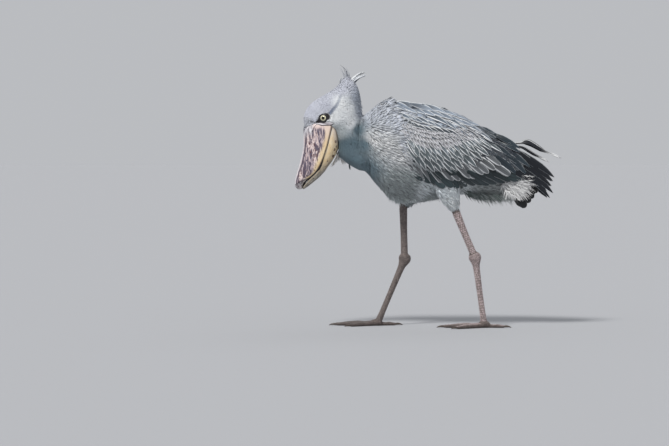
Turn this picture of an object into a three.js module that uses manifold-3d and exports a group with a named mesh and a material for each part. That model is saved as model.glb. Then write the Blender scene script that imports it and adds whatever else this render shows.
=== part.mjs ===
// Shoebill, life size, standing in a slow stride with its head drawn in and its bill
// pointing down. Millimetres, +Z up. The bird faces -Y, its left side is +X, and the
// soles of its feet lie at z = 0.
import * as THREE from 'three';
import { mergeVertices } from 'three/addons/utils/BufferGeometryUtils.js';
import Module from 'manifold-3d';

const wasm = await Module();
wasm.setup();

// ---------------------------------------------------------------- driving dimensions
const GAP = 0.35;              // clearance that neighbouring pieces keep

const BACK_HEIGHT = 783;       // top of the back, over the middle of the wing
const BELLY_HEIGHT = 450;      // lowest belly feathers, between the legs
const MANTLE_HUMP = 818;       // ruffled feathers above the shoulders
const TRUNK_HALF_WIDTH = 119;  // trunk without the wings
const WING_HALF_WIDTH = 147;   // middle of the back to the outside of the folded wing

const NAPE_Y = -245;           // back of the neck
const FOREHEAD_Y = -453;       // front of the face, straight above the culmen
const CROWN_BACK = 892;        // feathered peak that the crest grows from
const HEAD_HALF_WIDTH = 66;
const BILL_BASE_Z = 733;       // feather line across the root of the bill
const BILL_HALF_WIDTH = 60;    // widest, a third of the way down the bill
const BILL_TIP_Z = 494;        // hooked nail

const EYE_RADIUS = 14.5;
const EYE = { x: 48.5, y: -382.5, z: 752.5 };

const LEG_X = 60;              // legs from the middle plane
const HEEL_Z = { left: 249, right: 240 };      // ankle joints
const HEEL_Y = { left: 160, right: -89 };
const FOOT_Y = { left: 194, right: -190 };     // where the toes meet
const SHANK_RADIUS = 12;
const TARSUS_RADIUS = 10.5;
const HEEL_RADIUS = 21;

const TOE_LENGTH = { mid: 150, inner: 118, outer: 132, hind: 74 };  // without the claw
const TOE_SPREAD = { mid: 2, inner: -33, outer: 36, hind: 170 };    // degrees, outwards
const TOE_RADIUS = 8;
const CLAW_LENGTH = 23;

const CREST_TIP = { y: -326, z: 945 };
const CREST_BACK_TIP = { y: -232, z: 912 };
const PLUME_TIP = { y: 470, z: 611 };

// ---------------------------------------------------------------- colours
const paint = (color, roughness = 0.8) =>
  new THREE.MeshStandardMaterial({ color, roughness, metalness: 0 });
const COLOUR = {
  crown: 0xaeb4c0, neck: 0x8e9da6, trunk: 0x9aa0aa, wing: 0x6f7880, flight: 0x1d222c,
  thigh: 0xa9b3b6, bill: 0xc3a184, billLower: 0xcba86a, iris: 0xc9c79c, leg: 0x8f7f83,
  legShade: 0x6a5c58, claw: 0x2c2a2b, crest: 0x8b95a3, plume: 0x2b3038,
};

// ---------------------------------------------------------------- shape helpers
const signedPow = (v, e) => Math.sign(v) * Math.pow(Math.abs(v), e);

// smooth interpolation through the rows of a table, t from 0 to 1
function along(rows, t) {
  const n = rows.length - 1;
  const s = Math.min(Math.max(t, 0), 1) * n;
  const i = Math.min(Math.floor(s), n - 1);
  const f = s - i;
  const row = (k) => rows[Math.min(Math.max(k, 0), n)];
  return rows[0].map((_, c) => {
    const [a, b, d, e] = [row(i - 1)[c], row(i)[c], row(i + 1)[c], row(i + 2)[c]];
    return b + 0.5 * f * (d - a + f * (2 * a - 5 * b + 4 * d - e + f * (3 * (b - d) + e - a)));
  });
}

// a closed body: a sphere whose parallels become the rings of ring(t, angle)
function body(sides, steps, ring) {
  const geometry = new THREE.SphereGeometry(1, sides, steps);
  const pos = geometry.attributes.position;
  for (let row = 0; row <= steps; row += 1) {
    const t = row / steps;
    let pole = null;
    if (row === 0 || row === steps) {
      pole = [0, 0, 0];
      for (let k = 0; k < sides; k += 1) {
        const p = ring(t, (2 * Math.PI * k) / sides);
        pole = pole.map((v, c) => v + p[c] / sides);
      }
    }
    for (let k = 0; k <= sides; k += 1) {
      const index = row * (sides + 1) + k;
      const p = pole ?? ring(t, (2 * Math.PI * (k % sides)) / sides);
      pos.setXYZ(index, p[0], p[1], p[2]);
    }
  }
  geometry.deleteAttribute('normal');
  geometry.deleteAttribute('uv');
  const merged = mergeVertices(geometry, 1e-4);
  const index = merged.index.array;
  const clean = [];
  for (let k = 0; k < index.length; k += 3) {
    const [a, b, c] = [index[k], index[k + 1], index[k + 2]];
    if (a !== b && b !== c && a !== c) clean.push(a, b, c);
  }
  merged.setIndex(clean);
  if (volume(merged) < 0) {
    for (let k = 0; k < clean.length; k += 3) [clean[k + 1], clean[k + 2]] = [clean[k + 2], clean[k + 1]];
    merged.setIndex(clean);
  }
  return merged;
}

function volume(geometry) {
  const p = geometry.attributes.position;
  const id = geometry.index.array;
  const [a, b, c] = [new THREE.Vector3(), new THREE.Vector3(), new THREE.Vector3()];
  let sum = 0;
  for (let k = 0; k < id.length; k += 3) {
    a.fromBufferAttribute(p, id[k]);
    b.fromBufferAttribute(p, id[k + 1]);
    c.fromBufferAttribute(p, id[k + 2]);
    sum += a.dot(b.cross(c)) / 6;
  }
  return sum;
}

// the same body, larger by the clearance on every side: each corner moves so that
// all the faces that meet there move out by the same distance
function grown(geometry, by = GAP) {
  const g = geometry.clone();
  const p = g.attributes.position;
  const id = g.index.array;
  const faces = Array.from({ length: p.count }, () => []);
  const [a, b, c] = Array.from({ length: 3 }, () => new THREE.Vector3());
  for (let k = 0; k < id.length; k += 3) {
    a.fromBufferAttribute(p, id[k]);
    b.fromBufferAttribute(p, id[k + 1]);
    c.fromBufferAttribute(p, id[k + 2]);
    const f = new THREE.Vector3().crossVectors(b.sub(a), c.sub(a)).normalize();
    if (f.lengthSq() > 0.5) for (let j = 0; j < 3; j += 1) faces[id[k + j]].push(f);
  }
  for (let k = 0; k < p.count; k += 1) {
    const m = [0.02, 0, 0, 0, 0.02, 0, 0, 0, 0.02];
    const sum = new THREE.Vector3();
    for (const f of faces[k]) {
      const v = [f.x, f.y, f.z];
      for (let i = 0; i < 3; i += 1) for (let j = 0; j < 3; j += 1) m[3 * i + j] += v[i] * v[j];
      sum.add(f);
    }
    const move = sum.multiplyScalar(by).applyMatrix3(new THREE.Matrix3().set(...m).invert());
    const least = Math.min(...faces[k].map((f) => f.dot(move)));
    if (least < by) move.multiplyScalar(Math.min(by / Math.max(least, 0.2 * by), 3));
    if (move.length() > 6 * by) move.setLength(6 * by);
    p.setXYZ(k, p.getX(k) + move.x, p.getY(k) + move.y, p.getZ(k) + move.z);
  }
  return g;
}

function mirrored(geometry) {
  const g = geometry.clone();
  g.scale(-1, 1, 1);
  const id = Array.from(g.index.array);
  for (let k = 0; k < id.length; k += 3) [id[k + 1], id[k + 2]] = [id[k + 2], id[k + 1]];
  g.setIndex(id);
  return g;
}

function solid(geometry) {
  const g = geometry.index && !geometry.attributes.normal ? geometry : (() => {
    const c = geometry.clone();
    c.deleteAttribute('normal');
    c.deleteAttribute('uv');
    return mergeVertices(c, 1e-4);
  })();
  return new wasm.Manifold(new wasm.Mesh({
    numProp: 3,
    vertProperties: new Float32Array(g.attributes.position.array),
    triVerts: new Uint32Array(g.index.array),
  }));
}

const cut = (raw, ...others) =>
  others.reduce((left, other) => left.subtract(solid(grown(other))), solid(raw));

// the largest piece of a solid, as a three.js geometry
function geometryOf(manifold) {
  const parts = manifold.decompose();
  const best = parts.reduce((a, b) => (b.volume() > a.volume() ? b : a));
  const mesh = best.getMesh();
  const g = new THREE.BufferGeometry();
  g.setAttribute('position', new THREE.BufferAttribute(new Float32Array(mesh.vertProperties), 3));
  g.setIndex(Array.from(mesh.triVerts));
  return g;
}

// everything on one side of a plane across the bird, as a large block;
// the plane passes (y, z) with its normal at `angle` degrees above +Y
function halfSpace(y, z, angle) {
  const size = 1600;
  const g = new THREE.BoxGeometry(size, size, size);
  g.translate(0, size / 2, 0);
  g.rotateX(THREE.MathUtils.degToRad(angle));
  g.translate(0, y, z);
  return g;
}

// upright slices along the bird; rows: y, top, bottom, half width, height of that width, power
const slices = (rows, sides, steps) => body(sides, steps, (t, a) => {
  const [y, top, low, half, mid, power] = along(rows, t);
  const c = signedPow(Math.cos(a), 2 / power);
  const s = signedPow(Math.sin(a), 2 / power);
  return [half * c, y, mid + (s > 0 ? top - mid : mid - low) * s];
});

// level slices up the bird; rows: z, front, back, half width, place of that width, power
const storeys = (rows, sides, steps) => body(sides, steps, (t, a) => {
  const [z, front, back, half, mid, power] = along(rows, t);
  const c = signedPow(Math.cos(a), 2 / power);
  const s = signedPow(Math.sin(a), 2 / power);
  return [half * c, mid + (s > 0 ? back - mid : mid - front) * s, z];
});

// round limb along a path; rows: x, y, z, half width sideways, half width in the path's plane
const limb = (rows, sides, steps, floor = -Infinity) => body(sides, steps, (t, a) => {
  const [x, y, z, wide, deep] = along(rows, t);
  const e = 1e-3;
  const p0 = along(rows, t - e);
  const p1 = along(rows, t + e);
  const tangent = new THREE.Vector3(p1[0] - p0[0], p1[1] - p0[1], p1[2] - p0[2]).normalize();
  const steep = Math.abs(tangent.z) > 0.6;
  const ref = steep ? new THREE.Vector3(0, 1, 0) : new THREE.Vector3(0, 0, 1);
  const side = new THREE.Vector3().crossVectors(tangent, ref).normalize();
  const normal = new THREE.Vector3().crossVectors(side, tangent).normalize();
  const turn = sides % 4 === 0 ? a + Math.PI / sides : a;   // a flat side, not a corner, below
  const c = Math.cos(turn) * wide;
  const s = Math.sin(turn) * deep;
  return [
    x + side.x * c + normal.x * s,
    y + side.y * c + normal.y * s,
    Math.max(z + side.z * c + normal.z * s, floor),
  ];
});

// ---------------------------------------------------------------- head and neck
const headNeckRaw = storeys([
  [CROWN_BACK + 6, -312, -290, 7, -301, 2],
  [CROWN_BACK - 8, -322, -274, 22, -297, 2],
  [866, -336, -263, 36, -296, 2],
  [844, -366, -255, 48, -300, 2],
  [818, -410, -250, 57, -315, 2],
  [790, -441, NAPE_Y - 2, 62, -330, 2],
  [762, FOREHEAD_Y, NAPE_Y, 65, -335, 2.05],
  [BILL_BASE_Z + 8, FOREHEAD_Y + 1, NAPE_Y + 3, HEAD_HALF_WIDTH, -332, 2.1],
  [BILL_BASE_Z - 4, -424, NAPE_Y + 4, 64, -324, 2.1],
  [716, -364, NAPE_Y + 6, 63, -314, 2.1],
  [692, -345, NAPE_Y + 10, 62, -300, 2.1],
  [660, -336, -228, 62, -280, 2.1],
  [620, -331, -212, 64, -262, 2.1],
  [588, -296, -200, 66, -245, 2.1],
  [562, -250, -190, 40, -220, 2],
], 22, 17);

// the upper half of the bill: a dome over the mouth line, hooked at its tip
// rows: culmen y, z, mouth edge y, z, half width
const upperRows = [
  [-438, BILL_BASE_Z + 14, -354, BILL_BASE_Z + 6, 48],
  [FOREHEAD_Y, BILL_BASE_Z - 10, -354, BILL_BASE_Z - 8, 57],
  [-455, 680, -364, 679, BILL_HALF_WIDTH - 1],
  [-457, 636, -376, 637, BILL_HALF_WIDTH],
  [-467, 590, -393, 592, BILL_HALF_WIDTH - 3],
  [-478, 553, -412, 560, 49],
  [-484, 526, -438, 536, 35],
  [-483, 508, -456, 518, 20],
  [-471, BILL_TIP_Z + 1, -461, BILL_TIP_Z + 4, 7],
];
const bowl = (rows, belly, power) => (t, a) => {
  const [y1, z1, y0, z0, half] = along(rows, t);
  const c = Math.cos(a);
  const s = Math.sin(a);
  const x = half * signedPow(c, 2 / power);
  const k = s >= 0 ? signedPow(s, 2 / power) : -belly * s;
  return [x, y0 + (y1 - y0) * k, z0 + (z1 - z0) * k];
};
const billUpperRaw = body(18, 14, bowl(upperRows, 0.1, 2.5));
// the lower half: a shallower bowl under the same edge
const billLowerRaw = body(16, 12, bowl([
  [-331, 700, -351, BILL_BASE_Z + 2, 50],
  [-329, 664, -358, 708, 56],
  [-331, 640, -368, 672, 57],
  [-344, 611, -379, 633, 56],
  [-363, 583, -396, 590, 52],
  [-387, 551, -414, 558, 45],
  [-418, 523, -439, 534, 31],
  [-447, 501, -456, 514, 16],
  [-457, BILL_TIP_Z + 2, -461, 504, 6],
], 0.02, 2.3));

const eyeRaw = new THREE.SphereGeometry(EYE_RADIUS, 12, 8);
eyeRaw.rotateZ(Math.PI / 2);
eyeRaw.translate(EYE.x, EYE.y, EYE.z);
const eyeLeft = mergeVertices((() => {
  eyeRaw.deleteAttribute('normal');
  eyeRaw.deleteAttribute('uv');
  return eyeRaw;
})(), 1e-4);
const eyeRight = mirrored(eyeLeft);

// ---------------------------------------------------------------- trunk
const trunkRaw = slices([
  [-268, 690, 640, 24, 665, 2],
  [-244, 753, 576, 66, 655, 2.1],
  [-208, 785, 534, 92, 650, 2.1],
  [-170, 805, 492, 107, 645, 2.15],
  [-145, MANTLE_HUMP, 466, 112, 642, 2.1],
  [-108, 793, BELLY_HEIGHT + 4, 117, 640, 2.1],
  [-50, 785, BELLY_HEIGHT, TRUNK_HALF_WIDTH, 640, 2.1],
  [15, BACK_HEIGHT, 463, 118, 640, 2.1],
  [85, 772, 478, 110, 635, 2.1],
  [150, 741, 479, 97, 622, 2],
  [210, 705, 473, 80, 600, 2],
  [262, 677, 462, 62, 575, 2],
  [304, 646, 466, 47, 556, 2],
  [340, 596, 484, 33, 538, 2],
  [366, 548, 505, 14, 526, 2],
], 24, 20);

// ---------------------------------------------------------------- folded wings and tail
const wingRows = [
  [-114, 655, 598, 98, 628],
  [-94, 693, 566, 121, 628],
  [-45, 735, 542, 140, 634],
  [25, 752, 517, WING_HALF_WIDTH, 632],
  [95, 738, 506, 143, 622],
  [165, 709, 507, 129, 608],
  [235, 678, 514, 108, 594],
  [298, 648, 528, 86, 585],
  [338, 616, 552, 68, 582],
];
const WING_CORE = 46;          // the inner side lies inside the trunk and is cut away
const wingRaw = body(18, 14, (t, a) => {
  const [y, top, low, out, mid] = along(wingRows, t);
  const c = Math.cos(a);
  const s = Math.sin(a);
  return [WING_CORE + (out - WING_CORE) * c, y, mid + (s > 0 ? top - mid : mid - low) * s];
});

// closed black flight feathers: a tall thin blade, rows y, top, bottom, middle x, half thickness
const primaryRaw = body(12, 8, (t, a) => {
  const [y, top, low, mid, thick] = along([
    [262, 668, 585, 66, 6],
    [306, 659, 540, 62, 13],
    [355, 631, 512, 52, 12],
    [400, 594, 486, 41, 9],
    [432, 560, 470, 31, 6],
    [447, 536, 492, 26, 3],
  ], t);
  return [mid + thick * Math.cos(a), y, (top + low) / 2 + ((top - low) / 2) * Math.sin(a)];
});

// tail: a fan whose outer feathers droop below the middle ones
const TAIL = { rootY: 232, rootZ: 604, endY: 390, endZ: 490, half: 66, droop: 92, thick: 5 };
const TAIL_STEPS = 9;
const tailRaw = body(18, TAIL_STEPS, (s, a) => {
  const t = s < 1 ? (s * TAIL_STEPS * 0.96) / (TAIL_STEPS - 1) : 1;
  const len = Math.hypot(TAIL.endY - TAIL.rootY, TAIL.endZ - TAIL.rootZ);
  const dy = (TAIL.endY - TAIL.rootY) / len;
  const dz = (TAIL.endZ - TAIL.rootZ) / len;
  const half = along([[18], [32], [46], [56], [TAIL.half - 4], [TAIL.half], [TAIL.half - 6]], t)[0] * (s < 1 ? 1 : 0.3);
  const x = half * Math.cos(a);
  const reach = t * len;
  const lift = TAIL.thick * Math.sin(a) - TAIL.droop * (0.35 + 0.65 * t) * (x / TAIL.half) ** 2;
  return [x, TAIL.rootY + dy * reach - dz * lift, TAIL.rootZ + dz * reach + dy * lift];
});

// ---------------------------------------------------------------- legs
const legs = {};
for (const side of ['left', 'right']) {
  const m = side === 'left' ? 1 : -1;
  const x = LEG_X * m;
  const heelY = HEEL_Y[side];
  const heelZ = HEEL_Z[side];
  const footY = FOOT_Y[side];
  const kneeY = side === 'left' ? 66 : -72;
  const cuffY = side === 'left' ? 86 : -94;
  const cuffZ = side === 'left' ? 424 : 438;
  const thigh = limb([
    [x - 4 * m, kneeY - 24 * m, 575, 26, 30],
    [x + 4 * m, kneeY - 12 * m, 530, 44, 50],
    [x + 5 * m, kneeY, 486, 36, 44],
    [x + 2 * m, (kneeY + cuffY) / 2 + 2 * m, 452, 24, 28],
    [x, cuffY, cuffZ, 13, 14],
  ], 12, 8);
  const shank = limb([
    [x, cuffY - (heelY - cuffY) * 0.16, cuffZ + 30, 9, 9],
    [x, cuffY, cuffZ + 4, SHANK_RADIUS + 1.5, SHANK_RADIUS + 2],
    [x, cuffY + (heelY - cuffY) * 0.5, (cuffZ + heelZ) / 2, SHANK_RADIUS - 1, SHANK_RADIUS],
    [x, heelY - (heelY - cuffY) * 0.05, heelZ + 10, SHANK_RADIUS - 1, SHANK_RADIUS],
    [x, heelY, heelZ, 9, 9],
  ], 8, 8);
  const part = (f) => [x, heelY + (footY - heelY) * f, heelZ * (1 - f)];
  const lean = (heelY - cuffY) / (cuffZ - heelZ);
  const tarsus = limb([
    [x, heelY - lean * 26, heelZ + 26, 8, 9],
    [x, heelY - lean * 13, heelZ + 13, 14, HEEL_RADIUS - 2],
    [...part(0), 17, HEEL_RADIUS + 0.5],
    [...part(0.1), 12, 13],
    [...part(0.25), TARSUS_RADIUS - 0.5, TARSUS_RADIUS + 0.5],
    [...part(0.5), TARSUS_RADIUS - 1, TARSUS_RADIUS - 0.5],
    [...part(0.75), TARSUS_RADIUS - 1, TARSUS_RADIUS - 0.5],
    [...part(0.9), TARSUS_RADIUS + 1, TARSUS_RADIUS + 1],
    [...part(0.955), TARSUS_RADIUS + 2, TARSUS_RADIUS + 2],
  ], 10, 12);
  // the pad under the leg that the toes grow from
  const pad = limb([
    [x, footY + 18, 9, 9, 8],
    [x, footY + 8, 11, 15, 12.5],
    [x, footY - 8, 11, 18, 12.5],
    [x, footY - 23, 8, 13, 9],
  ], 10, 5, 0);
  const toes = {};
  const claws = {};
  for (const [name, length] of Object.entries(TOE_LENGTH)) {
    const angle = THREE.MathUtils.degToRad(TOE_SPREAD[name]);
    const dx = Math.sin(angle) * m;
    const dy = -Math.cos(angle);
    const r = name === 'hind' ? TOE_RADIUS - 1 : TOE_RADIUS;
    const at = (d, z, w, h) => [x + dx * d, footY + dy * d, z, w, h];
    toes[name] = limb([
      at(4, r + 1, r * 0.8, r * 0.8),
      at(length * 0.18, r, r * 1.05, r + 1),
      at(length * 0.4, r - 1.5, r * 0.88, r - 0.5),
      at(length * 0.62, r - 1.2, r * 0.95, r),
      at(length * 0.84, r - 2.2, r * 0.75, r - 1.5),
      at(length, r - 2.6, r * 0.5, r - 3),
    ], 8, 6, 0);
    claws[name] = limb([
      at(length - 7, 5.2, 3.2, 3.6),
      at(length + CLAW_LENGTH * 0.2, 6, 3.3, 4),
      at(length + CLAW_LENGTH * 0.65, 4.6, 2, 2.6),
      at(length + CLAW_LENGTH, 1.4, 0.6, 0.8),
    ], 6, 4, 0);
  }
  legs[side] = { thigh, shank, tarsus, pad, toes, claws };
}

// ---------------------------------------------------------------- loose long feathers
const feather = (rows, steps = 6) => limb(rows, 6, steps);
const crestFront = feather([
  [1, -302, 874, 5, 8],
  [1, -300, 897, 4, 6],
  [0, -303, 916, 2.2, 3.4],
  [-1, -314, 932, 1.2, 1.8],
  [-1, CREST_TIP.y, CREST_TIP.z - 1, 0.6, 0.8],
]);
const crestBack = feather([
  [5, -290, 864, 6, 10],
  [6, -278, 882, 7, 9.5],
  [7, -261, 896, 6, 8.5],
  [7, -245, 905, 4, 5.5],
  [7, CREST_BACK_TIP.y, CREST_BACK_TIP.z, 1.2, 1.5],
]);
const crestMid = feather([
  [-6, -296, 868, 6, 8],
  [-7, -294, 892, 5, 7],
  [-8, -296, 910, 3, 4],
  [-8, -300, 926, 1, 1.2],
]);
const plumeLong = feather([
  [20, 262, 664, 3, 4],
  [24, 306, 665, 5, 4],
  [26, 356, 658, 8, 5],
  [26, 405, 637, 9, 6],
  [25, 440, 622, 5, 3],
  [24, PLUME_TIP.y, PLUME_TIP.z, 1.5, 1.5],
], 9);
const plumeShort = feather([
  [-14, 300, 652, 3, 4],
  [-16, 345, 640, 5, 4],
  [-17, 385, 619, 6, 4],
  [-17, 426, 595, 1.5, 1.5],
], 7);

// ---------------------------------------------------------------- parting and assembly
const model = new THREE.Group();
function place(name, geometry, material) {
  const g = geometry.index ? geometry : mergeVertices(geometry, 1e-4);
  g.computeVertexNormals();
  const mesh = new THREE.Mesh(g, material);
  mesh.name = name;
  model.add(mesh);
}

// head, neck and trunk are one continuous form, parted by two thin cuts
const core = solid(headNeckRaw).add(solid(trunkRaw))
  .subtract(solid(grown(billUpperRaw))).subtract(solid(grown(billLowerRaw)))
  .subtract(solid(grown(eyeLeft))).subtract(solid(grown(eyeRight)));
const CUT = GAP / 2;
const NECK_TOP = { y: -300, z: 693, angle: -36 };   // below the cheek to the nape
const NECK_BASE = { y: -233, z: 650, angle: 4 };    // across the root of the neck
const offset = (plane, d) => {
  const r = THREE.MathUtils.degToRad(plane.angle);
  return solid(halfSpace(plane.y + Math.cos(r) * d, plane.z + Math.sin(r) * d, plane.angle));
};
const head = core.subtract(offset(NECK_TOP, -CUT));
const belowHead = core.intersect(offset(NECK_TOP, CUT));
const neck = belowHead.subtract(offset(NECK_BASE, -CUT));
const trunk = belowHead.intersect(offset(NECK_BASE, CUT));

place('head', geometryOf(head), paint(COLOUR.crown));
place('neck', geometryOf(neck), paint(COLOUR.neck));
place('trunk', geometryOf(trunk), paint(COLOUR.trunk));
place('bill_upper', billUpperRaw, paint(COLOUR.bill, 0.45));
place('bill_lower', geometryOf(cut(billLowerRaw, billUpperRaw)), paint(COLOUR.billLower, 0.45));
place('eye_left', eyeLeft, paint(COLOUR.iris, 0.1));
place('eye_right', eyeRight, paint(COLOUR.iris, 0.1));

place('tail', geometryOf(cut(tailRaw, trunkRaw, wingRaw, mirrored(wingRaw))), paint(COLOUR.flight, 0.6));
for (const side of ['left', 'right']) {
  const flip = side === 'left' ? (g) => g : mirrored;
  const wing = flip(wingRaw);
  const primary = flip(primaryRaw);
  const leg = legs[side];
  place(`wing_${side}`, geometryOf(cut(wing, trunkRaw, headNeckRaw)), paint(COLOUR.wing, 0.7));
  place(`primaries_${side}`, geometryOf(cut(primary, trunkRaw, wing, tailRaw)), paint(COLOUR.flight, 0.6));
  place(`thigh_${side}`, geometryOf(cut(leg.thigh, trunkRaw, wing)), paint(COLOUR.thigh));
  place(`shank_${side}`, geometryOf(cut(leg.shank, leg.thigh, trunkRaw, leg.tarsus)), paint(COLOUR.leg, 0.6));
  place(`tarsus_${side}`, geometryOf(cut(leg.tarsus, leg.pad)), paint(side === 'left' ? COLOUR.leg : COLOUR.legShade, 0.6));
  place(`foot_${side}`, leg.pad, paint(COLOUR.legShade, 0.6));
  const before = [];
  for (const name of ['mid', 'inner', 'outer', 'hind']) {
    place(`toe_${name}_${side}`, geometryOf(cut(leg.toes[name], leg.pad, leg.tarsus, ...before)), paint(COLOUR.legShade, 0.6));
    place(`claw_${name}_${side}`, geometryOf(cut(leg.claws[name], leg.toes[name])), paint(COLOUR.claw, 0.35));
    before.push(leg.toes[name]);
  }
}
place('crest_front', geometryOf(cut(crestFront, headNeckRaw)), paint(COLOUR.crest));
place('crest_mid', geometryOf(cut(crestMid, headNeckRaw, crestFront)), paint(COLOUR.crest));
place('crest_back', geometryOf(cut(crestBack, headNeckRaw, crestFront, crestMid)), paint(COLOUR.crest));
const wings = [wingRaw, mirrored(wingRaw), primaryRaw, mirrored(primaryRaw)];
place('plume_long', geometryOf(cut(plumeLong, trunkRaw, tailRaw, ...wings)), paint(COLOUR.plume));
place('plume_short', geometryOf(cut(plumeShort, trunkRaw, tailRaw, ...wings)), paint(COLOUR.plume));

// the origin is below the middle of the bird's outline, on the level of its soles
model.updateMatrixWorld(true);
const extent = new THREE.Box3().setFromObject(model);
model.position.set(-(extent.min.x + extent.max.x) / 2, -(extent.min.y + extent.max.y) / 2, 0);

export default model;
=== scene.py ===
import math

import bpy
import numpy as np
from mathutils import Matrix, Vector
from mathutils.bvhtree import BVHTree


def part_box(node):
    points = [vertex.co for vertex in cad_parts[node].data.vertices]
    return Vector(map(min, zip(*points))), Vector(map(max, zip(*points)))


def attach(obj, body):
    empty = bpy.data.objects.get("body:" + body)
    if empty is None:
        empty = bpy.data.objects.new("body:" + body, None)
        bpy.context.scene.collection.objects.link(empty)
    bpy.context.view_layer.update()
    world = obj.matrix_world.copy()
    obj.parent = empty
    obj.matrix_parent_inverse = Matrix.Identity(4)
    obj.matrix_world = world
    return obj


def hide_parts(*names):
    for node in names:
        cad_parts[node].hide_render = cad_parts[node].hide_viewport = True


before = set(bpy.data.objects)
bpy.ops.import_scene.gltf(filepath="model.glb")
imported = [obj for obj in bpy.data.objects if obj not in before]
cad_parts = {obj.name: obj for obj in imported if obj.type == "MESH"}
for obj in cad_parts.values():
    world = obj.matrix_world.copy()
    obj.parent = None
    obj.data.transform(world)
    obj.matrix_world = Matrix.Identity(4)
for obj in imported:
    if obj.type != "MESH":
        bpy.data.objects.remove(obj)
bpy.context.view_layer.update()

rng = np.random.default_rng(20)

# ------------------------------------------------------------------ frame helpers
# Shapes are written in the millimetres of the CAD source, then moved by the same shift.
_lo, _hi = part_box("eye_left")
SHIFT = (_lo.y + _hi.y) / 2 + 0.3825


def mm(a):
    """CAD-source millimetres to scene metres."""
    a = np.asarray(a, float) / 1000.0
    a = a.copy()
    a[..., 1] += SHIFT
    return a


def raw(a):
    """Scene metres back to CAD-source millimetres."""
    a = np.asarray(a, float).copy()
    a[..., 1] -= SHIFT
    return a * 1000.0


def px(x, y):
    """A place in the side view to CAD-source (y, z) millimetres."""
    return (x - 430.0) * 3.6, (327.0 - y) * 3.6


def smooth(a, b, x):
    t = np.clip((np.asarray(x, float) - a) / (b - a), 0, 1)
    return t * t * (3 - 2 * t)


def unit(v):
    return v / np.maximum(np.linalg.norm(v, axis=-1, keepdims=True), 1e-12)


def along(rows, t):
    """Smooth interpolation through the rows of a table, t from 0 to 1."""
    rows = np.asarray(rows, float)
    n = len(rows) - 1
    t = np.asarray(t, float)
    s = np.clip(t, 0, 1) * n
    i = np.minimum(np.floor(s).astype(int), n - 1)
    f = (s - i)[..., None]
    a = rows[np.clip(i - 1, 0, n)]
    b = rows[i]
    d = rows[np.clip(i + 1, 0, n)]
    e = rows[np.clip(i + 2, 0, n)]
    return b + 0.5 * f * (d - a + f * (2 * a - 5 * b + 4 * d - e + f * (3 * (b - d) + e - a)))


def spow(v, e):
    return np.sign(v) * np.abs(v) ** e


def value_noise(p, scale, seed=0):
    """Smooth noise of about -1..1 at points p, made of sums of sines with seeded directions."""
    g = np.random.default_rng(seed)
    out = np.zeros(len(p))
    for _ in range(9):
        k = unit(g.normal(size=(1, 3)))[0] * g.uniform(0.6, 1.6)
        out += np.sin(p @ k * (2 * np.pi / scale) + g.uniform(0, 2 * np.pi))
    return out / 4.2


# ------------------------------------------------------------------ mesh helpers
def add_mesh(name, verts, faces, uvs=None, shade=True):
    me = bpy.data.meshes.new(name)
    verts = np.asarray(verts, np.float32)
    faces = np.asarray(faces, np.int32)
    me.vertices.add(len(verts))
    me.vertices.foreach_set("co", verts.ravel())
    n = faces.shape[1]
    me.loops.add(faces.size)
    me.loops.foreach_set("vertex_index", faces.ravel())
    me.polygons.add(len(faces))
    me.polygons.foreach_set("loop_start", np.arange(0, faces.size, n, dtype=np.int32))
    me.update(calc_edges=True)
    me.validate()
    if shade:
        me.polygons.foreach_set("use_smooth", np.ones(len(me.polygons), bool))
    ob = bpy.data.objects.new(name, me)
    bpy.context.scene.collection.objects.link(ob)
    return ob


def set_uv(ob, name, per_loop):
    layer = ob.data.uv_layers.get(name) or ob.data.uv_layers.new(name=name)
    layer.data.foreach_set("uv", np.asarray(per_loop, np.float32).ravel())


def set_attr(ob, name, kind, data):
    at = ob.data.attributes.new(name, kind, "POINT")
    key = {"FLOAT": "value", "FLOAT_COLOR": "color", "FLOAT_VECTOR": "vector"}[kind]
    at.data.foreach_set(key, np.asarray(data, np.float32).ravel())


def loft(ring, sides, steps):
    """The CAD's closed body at any fineness: ring(t, angle) arrays to points, with a pole at each end."""
    t = np.linspace(0, 1, steps + 1)
    a = np.arange(sides) / sides * 2 * np.pi
    T, A = np.meshgrid(t, a, indexing="ij")
    p = ring(T, A)
    v = [p[0].mean(0)[None]] + [p[i] for i in range(1, steps)] + [p[-1].mean(0)[None]]
    verts = np.concatenate(v)
    faces = []
    k = np.arange(sides)
    k1 = (k + 1) % sides
    for i in range(steps - 2):
        b = 1 + i * sides
        faces.append(np.stack([b + k, b + k1, b + sides + k1, b + sides + k], 1))
    quads = np.concatenate(faces)
    last = len(verts) - 1
    b = 1 + (steps - 2) * sides
    tris = np.concatenate([
        np.stack([np.zeros(sides, int), 1 + k1, 1 + k], 1),
        np.stack([np.full(sides, last), b + k, b + k1], 1),
    ])
    return verts, quads, tris


def tri_faces(quads, tris):
    q = np.concatenate([quads[:, [0, 1, 2]], quads[:, [0, 2, 3]]])
    return np.concatenate([q, tris])


def signed_volume(v, f):
    a, b, c = v[f[:, 0]], v[f[:, 1]], v[f[:, 2]]
    return np.einsum("ij,ij->", a, np.cross(b, c)) / 6


def outward(v, quads, tris):
    if signed_volume(v, tri_faces(quads, tris)) < 0:
        quads = quads[:, ::-1]
        tris = tris[:, ::-1]
    return v, quads, tris


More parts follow.
